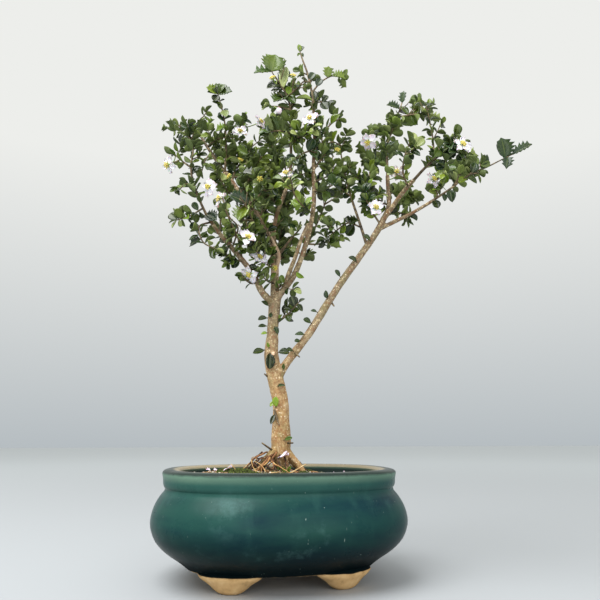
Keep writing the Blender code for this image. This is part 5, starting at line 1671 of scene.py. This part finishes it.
# thin roots by the trunk's foot, and dry stems, the first the stoutest; each is traced in the view
rootlets = [
    [(276, 452, -10), (272, 459, -15), (273, 466, -20), (270, 474, -26)],
    [(281, 455, -10), (278, 461, -14), (281, 467, -19), (279, 474, -26)],
    [(270, 461, -14), (276, 465, -20), (283, 468, -24), (290, 474, -28)],
    [(266, 465, -20), (272, 469, -25), (279, 471, -28)],
    [(273, 454, -10), (268, 458, -15), (263, 464, -20), (257, 470, -24), (254, 477, -28)],
    [(264, 453, -6), (258, 457, -12), (256, 464, -18), (258, 472, -24)],
    [(260, 455, -4), (254, 458, -8), (249, 464, -12), (246, 472, -16)],
    [(268, 456, -12), (261, 459, -17), (255, 464, -19), (251, 470, -18)],
    [(263, 457, -10), (257, 460, -15), (259, 466, -20), (264, 471, -24)],
    [(270, 458, -14), (266, 464, -20), (259, 467, -21), (252, 472, -20)],
    [(272, 460, -13), (267, 461, -18), (262, 466, -22), (261, 474, -26)],
    [(259, 462, -11), (262, 468, -20), (268, 472, -26)],
    [(267, 452, -9), (259, 456, -10), (252, 459, -6), (249, 465, -2)],
    [(256, 466, -16), (251, 463, -12), (247, 467, -8), (243, 473, -6)],
    [(285, 457, -9), (286, 463, -14), (285, 470, -20)],
    [(262, 458, -6), (254, 464, -10), (250, 472, -14), (247, 480, -18)],
    [(270, 455, -9), (262, 465, -16), (255, 473, -22), (250, 480, -26)],
    [(268, 460, -10), (261, 468, -18), (258, 477, -24)],
    [(272, 457, -11), (274, 466, -20), (280, 475, -28)],
    [(266, 462, -10), (264, 468, -18), (266, 476, -24)],
    [(290, 458, -6), (299, 462, 2), (306, 470, 8), (312, 477, 12)],
    [(256, 461, 0), (251, 466, 4), (246, 470, 6), (240, 476, 8)],
    [(286, 462, -12), (291, 469, -22), (299, 478, -30)],
    [(262, 452, 2), (254, 459, 10), (249, 468, 16)],
    [(275, 459, 9), (268, 466, 24), (260, 474, 36)],
    [(284, 459, 9), (291, 466, 26), (296, 474, 38)],
]
drySticks = [
    [(287, 475, -36), (296, 470, -30), (306, 464, -24)],
    [(258, 474, -34), (253, 467, -26), (251, 460, -20)],
    [(266, 472, -32), (261, 465, -25), (254, 461, -20)],
    [(253, 463, -18), (251.5, 459, -19), (254, 457, -20), (257, 460, -21)],
    [(236, 471, -20), (244, 468, -14), (249, 463, -10)],
    [(216, 474, -8), (224, 470, -4), (231, 468, 2)],
    [(240, 474, -30), (236, 470, -26), (231, 464, -24)],
]


def rootSkin():
    # fine roots and straw: dry papery skin, pale tan to brown, matt
    made, add, place = newMaterial("dry papery root skin", {"IOR": 1.45, "Roughness": 0.88})
    patch = add("TexNoise", [place, 1 / 0.005, 5])
    tint = add("Attribute", attribute_name="rootTint", output="Fac")
    shade = add("MapRange", [patch, 0.3, 0.7, -0.22, 0.22])
    mixed = add("Math", [tint, shade], operation="ADD")
    colour = add("ValToRGB", [mixed], ((0.05, "#33241a"), (0.30, "#6d4a30"), (0.50, "#96673f"),
                 (0.70, "#b5905a"), (0.95, "#dcc598")))
    return finished(made, colour, None, patch, strength=0.5, depth=0.0004)


litter = {
    "rootTints": (0.05, 0.2, 0.4, 0.65),        # from dark to pale
    "rootRadii": (0.6, 1.3), "tipRadius": 0.3,
    "wander": 1.2, "wanderLength": 6,
    "straws": 46, "strawLength": (5, 13),       # mm
    "edge": 14,                                 # mm that the straws keep from the pot
}


def layRootlets():
    draw = random.Random("rootlets")
    bm = bmesh.new()
    tintLayer = bm.verts.layers.float.new("rootTint")

    def lay(route, radii, sides, tint, rounded=False):
        first = len(bm.verts)
        growTube(bm, route, radii, sides, rounded=rounded)
        bm.verts.ensure_lookup_table()
        for vert in bm.verts[first:]:
            vert[tintLayer] = tint

    for line in rootlets:
        route = smoothRoute([traced(p) for p in line], 6)
        for i, at in enumerate(route):
            ground = groundUnder(at)
            spots = [at / (litter["wanderLength"] * mm) + Vector((17.3 * axis, 0, 0)) for axis in range(3)]
            at += litter["wander"] * mm * Vector([noise.noise(spot) for spot in spots])
            at.z = max(at.z, ground - 0.001 * i / len(route))
        radii = evenRadii(route, draw.uniform(*litter["rootRadii"]) * mm, litter["tipRadius"] * mm)
        lay(route, radii, 6, draw.choice(litter["rootTints"]), True)
    for line in drySticks:
        first = line is drySticks[0]
        route = smoothRoute([traced(p) for p in line], 5)
        for at in route:
            at.z = max(at.z, groundUnder(at) + 0.0012)
        lay(route, evenRadii(route, (0.75 if first else 0.5) * mm, 0.35 * mm), 6, 0.9 if first else 0.7)
    for _ in range(litter["straws"]):
        angle, far = draw.uniform(0, anyWay), math.sqrt(draw.random())
        reach = far * (ovalReach(angle, soilForm["litterInset"]) - litter["edge"] * mm)
        x, y = reach * math.cos(angle), reach * math.sin(angle)
        heading = draw.uniform(0, anyWay)
        length = draw.uniform(*litter["strawLength"]) * mm
        route = []
        for k in range(4):
            dx = x + length * (k / 3) * math.cos(heading + 0.2 * k)
            dy = y + length * (k / 3) * math.sin(heading + 0.2 * k)
            route.append(onGround(dx, dy) + Vector((0, 0, 0.0013)))
        radii = evenRadii(route, draw.uniform(0.35, 0.8) * mm, litter["tipRadius"] * mm)
        lay(route, radii, 5, draw.uniform(0.4, 1.0))
    faceOut(bm)
    keepPiece("fine_roots", bm, [rootSkin()])
    print("fine roots laid")


# leaves that sprout straight from the trunk and the long limb: where, which way in the view, length in
# mm, tone, which also paints the leaf's light and shade, and, where it matters, how young; then the stubs of
# shoots cut off there, from foot to tip
sprouts = [
    ((268, 318, -2), (-1, -0.3, -0.1), 9, 0.3), ((268, 326, -2), (-1, -0.3, -0.2), 9, 0.35),
    ((268, 333, -4), (-0.8, -0.4, -0.1), 6.5, 0.8, 0.8), ((275, 326, -6), (0.35, -0.4, -0.8), 8.5, 0.25),
    ((271, 312, -6), (-0.1, -0.4, -0.9), 6.5, 0.1), ((266, 350, -3), (-1, -0.3, -0.4), 12.5, 0.3),
    ((269, 348, -8), (-0.2, -0.4, 0.9), 6, 0.7, 0.6), ((269, 352, -9), (0.06, -0.35, -1), 16, 0.06),
    ((279, 352, -3), (1, -0.3, 0.05), 10.5, 0.25), ((294, 351, -8), (-1, -0.3, 0.15), 7, 0.3),
    ((304, 334, -12), (-1, -0.3, 0.1), 9, 0.4), ((300, 340, -12), (-0.9, -0.4, -0.1), 6, 0.3),
    ((311, 323, -12), (-0.9, -0.3, 0.5), 8.5, 0.35), ((284, 371, -9), (0.1, -0.3, 0.9), 7, 0.5),
    ((277, 386, -9), (0.9, -0.35, 0.15), 7.5, 0.35), ((275, 407, -10), (-0.05, -0.35, 1), 10, 0.9, 1),
    ((272, 401, -9), (-0.7, -0.4, -0.8), 7, 0.8, 0.6), ((271, 414, -9), (-0.35, -0.35, -1), 11, 0.12),
    ((284, 440, -10), (1, -0.35, 0.2), 8.5, 0.5, 0.1), ((269, 306, -4), (-0.9, -0.4, 0.4), 9, 0.3),
    ((269, 297, -4), (-1, -0.3, 0.2), 8, 0.2), ((317, 312, -11), (-0.9, -0.2, 0.3), 6, 0.3),
    ((328, 300, -12), (-0.2, -0.4, 0.9), 8, 0.15), ((339, 276, -14), (-0.6, -0.4, 0.8), 8, 0.3),
    ((357, 262, -16), (-0.8, -0.4, 0.5), 9, 0.3), ((371, 241, -18), (-0.8, -0.3, 0.6), 9, 0.3),
    ((286, 470, -24), (0.4, -0.4, 0.8), 8.5, 0.6, 0.4), ((281, 469, -26), (-0.8, -0.4, 0.5), 8, 0.5, 0.3),
]
stubs = [
    [(268, 376, -2), (264.5, 374, -5)], [(295, 353, -8), (299.5, 357, -11)],
    [(270.5, 411, -9), (279, 425, -19)], [(288, 443, -7), (293, 443, -9)],
    [(270, 448, -8), (262, 443, -12)], [(330, 302, -10), (334, 306, -14)],
]


def sproutTrunk(finishes, templates, woodTree):
    bm, _ = newFoliage()
    draw = random.Random("sprouts")
    leaves = []
    for spot, way, length, *look in sprouts:
        surface, skin, _, _ = woodTree.find_nearest(traced(spot))
        out = (viewTurn @ Vector(way)).normalized()
        foot = surface - 0.0006 * skin
        neck = surface + 0.0004 * skin + 0.0004 * out
        growTube(bm, [foot, neck, neck + 0.0010 * out], [0.0007, 0.00055, 0.00045], 6)
        leaves.append((neck + 0.0002 * out, way, length, look))
    for line in stubs:
        foot, tip = (traced(p) for p in line)
        surface = woodTree.find_nearest(foot)[0]
        route = [surface.lerp(tip, -0.1), surface.lerp(tip, 0.5), tip]
        growTube(bm, route, [0.0011, 0.0009, 0.0007], 8, rounded=True)
    giveFinish(bm, 1)
    faceOut(bm)
    for base, way, length, look in leaves:
        kind = draw.choice(("round", "oval", "oval"))
        setLeaf(bm, templates, draw, base, way, length, draw.uniform(0.66, 0.96), kind, *look)
    keepPiece("trunk_sprouts", bm, finishes)
    print(len(sprouts), "sprouts on the trunk")


room = {
    # the floor's far colour is painted light, paler where the lamps reach it less
    "floor": "#a3a7aa", "floorFarPaintedLight": "#c1c7ca",
    "skyTop": "#edeeeb", "skyLow": "#b6bdc1", "skyStrength": 1.0,
    "key": ((-0.7, -0.7, 1.8), 1.6, 54), "fill": ((0.5, -1.7, 0.6), 2.0, 16),    # place, size in m, watts
}


def paintedFloor():
    # matt paint, painted paler away from the pot: painted light that makes up for the lamps lighting the far
    # floor less
    made, add, place = newMaterial("plain pale floor", {"Roughness": 0.7})
    away = add("VectorMath", [place], operation="LENGTH")
    far = add("MapRange", [away, 0.4, 2.6], interpolation_type="SMOOTHSTEP")
    shade = add("Mix", [far, room["floor"], room["floorFarPaintedLight"]], data_type="RGBA")
    return finished(made, shade)


def lightRoom():
    # a plain pale floor, a soft sky all round and two wide soft lights
    bm = bmesh.new()
    bmesh.ops.create_grid(bm, x_segments=1, y_segments=1, size=6)
    floor = linked("floor", written("floor", bm))
    floor.data.materials.append(paintedFloor())
    world = bpy.context.scene.world or bpy.data.worlds.new("sky")
    bpy.context.scene.world = world
    world.use_nodes = True
    tree = world.node_tree
    way = addNode(tree, "TexCoord", output="Generated")
    up = addNode(tree, "SeparateXYZ", [way], output="Z")
    rise = addNode(tree, "MapRange", [up, -0.02, 0.42])
    shade = addNode(tree, "Mix", [rise, room["skyLow"], room["skyTop"]], data_type="RGBA")
    sky = tree.nodes["Background"]
    tree.links.new(shade, sky.inputs["Color"])
    sky.inputs["Strength"].default_value = room["skyStrength"]
    for name in ("key", "fill"):
        place, size, power = room[name]
        lamp = bpy.data.lights.new(name, "AREA")
        lamp.shape = "DISK"
        lamp.size = size
        lamp.energy = power
        light = linked(name, lamp)
        at = viewTurn @ Vector(place) + potMiddle
        light.location = at
        light.rotation_euler = (Vector((0, 0, 0.25)) + potMiddle - at).to_track_quat("-Z", "Y").to_euler()
    bpy.context.scene.view_settings.view_transform = "Standard"
    print("room lit")


# the stretches of the limbs that no leaf may hide, as points of their routes
shownLimbs = {
    "left_limb": (0, None), "stub": (0, None), "leader_left": (0, None), "long_limb": (0, None),
    "limb_up": (0, None), "limb_low": (0, None), "limb_diagonal": (0, None), "leader_right": (0, 28),
    "limb_b": (24, None),
}

placeCamera()
lightRoom()
pot = buildPot()
dressScreens()
soil = buildSoil()
wood = buildWood()
for piece in (pot, soil, wood):
    crowd.add(*shapeOf(piece.data))
for name, (first, last) in shownLimbs.items():
    keepInView(smoothRoute([traced(p) for p in limbs[name][0]], 4)[first:last], 4)
blades = leafTemplates()
barkTree = BVHTree.FromPolygons(*shapeOf(wood.data))
leafFinishes = buildSprays(blades, barkTree, openBlooms)
sproutTrunk(leafFinishes, blades, barkTree)
layRootlets()
growMoss()
scatterGrit(barkTree)
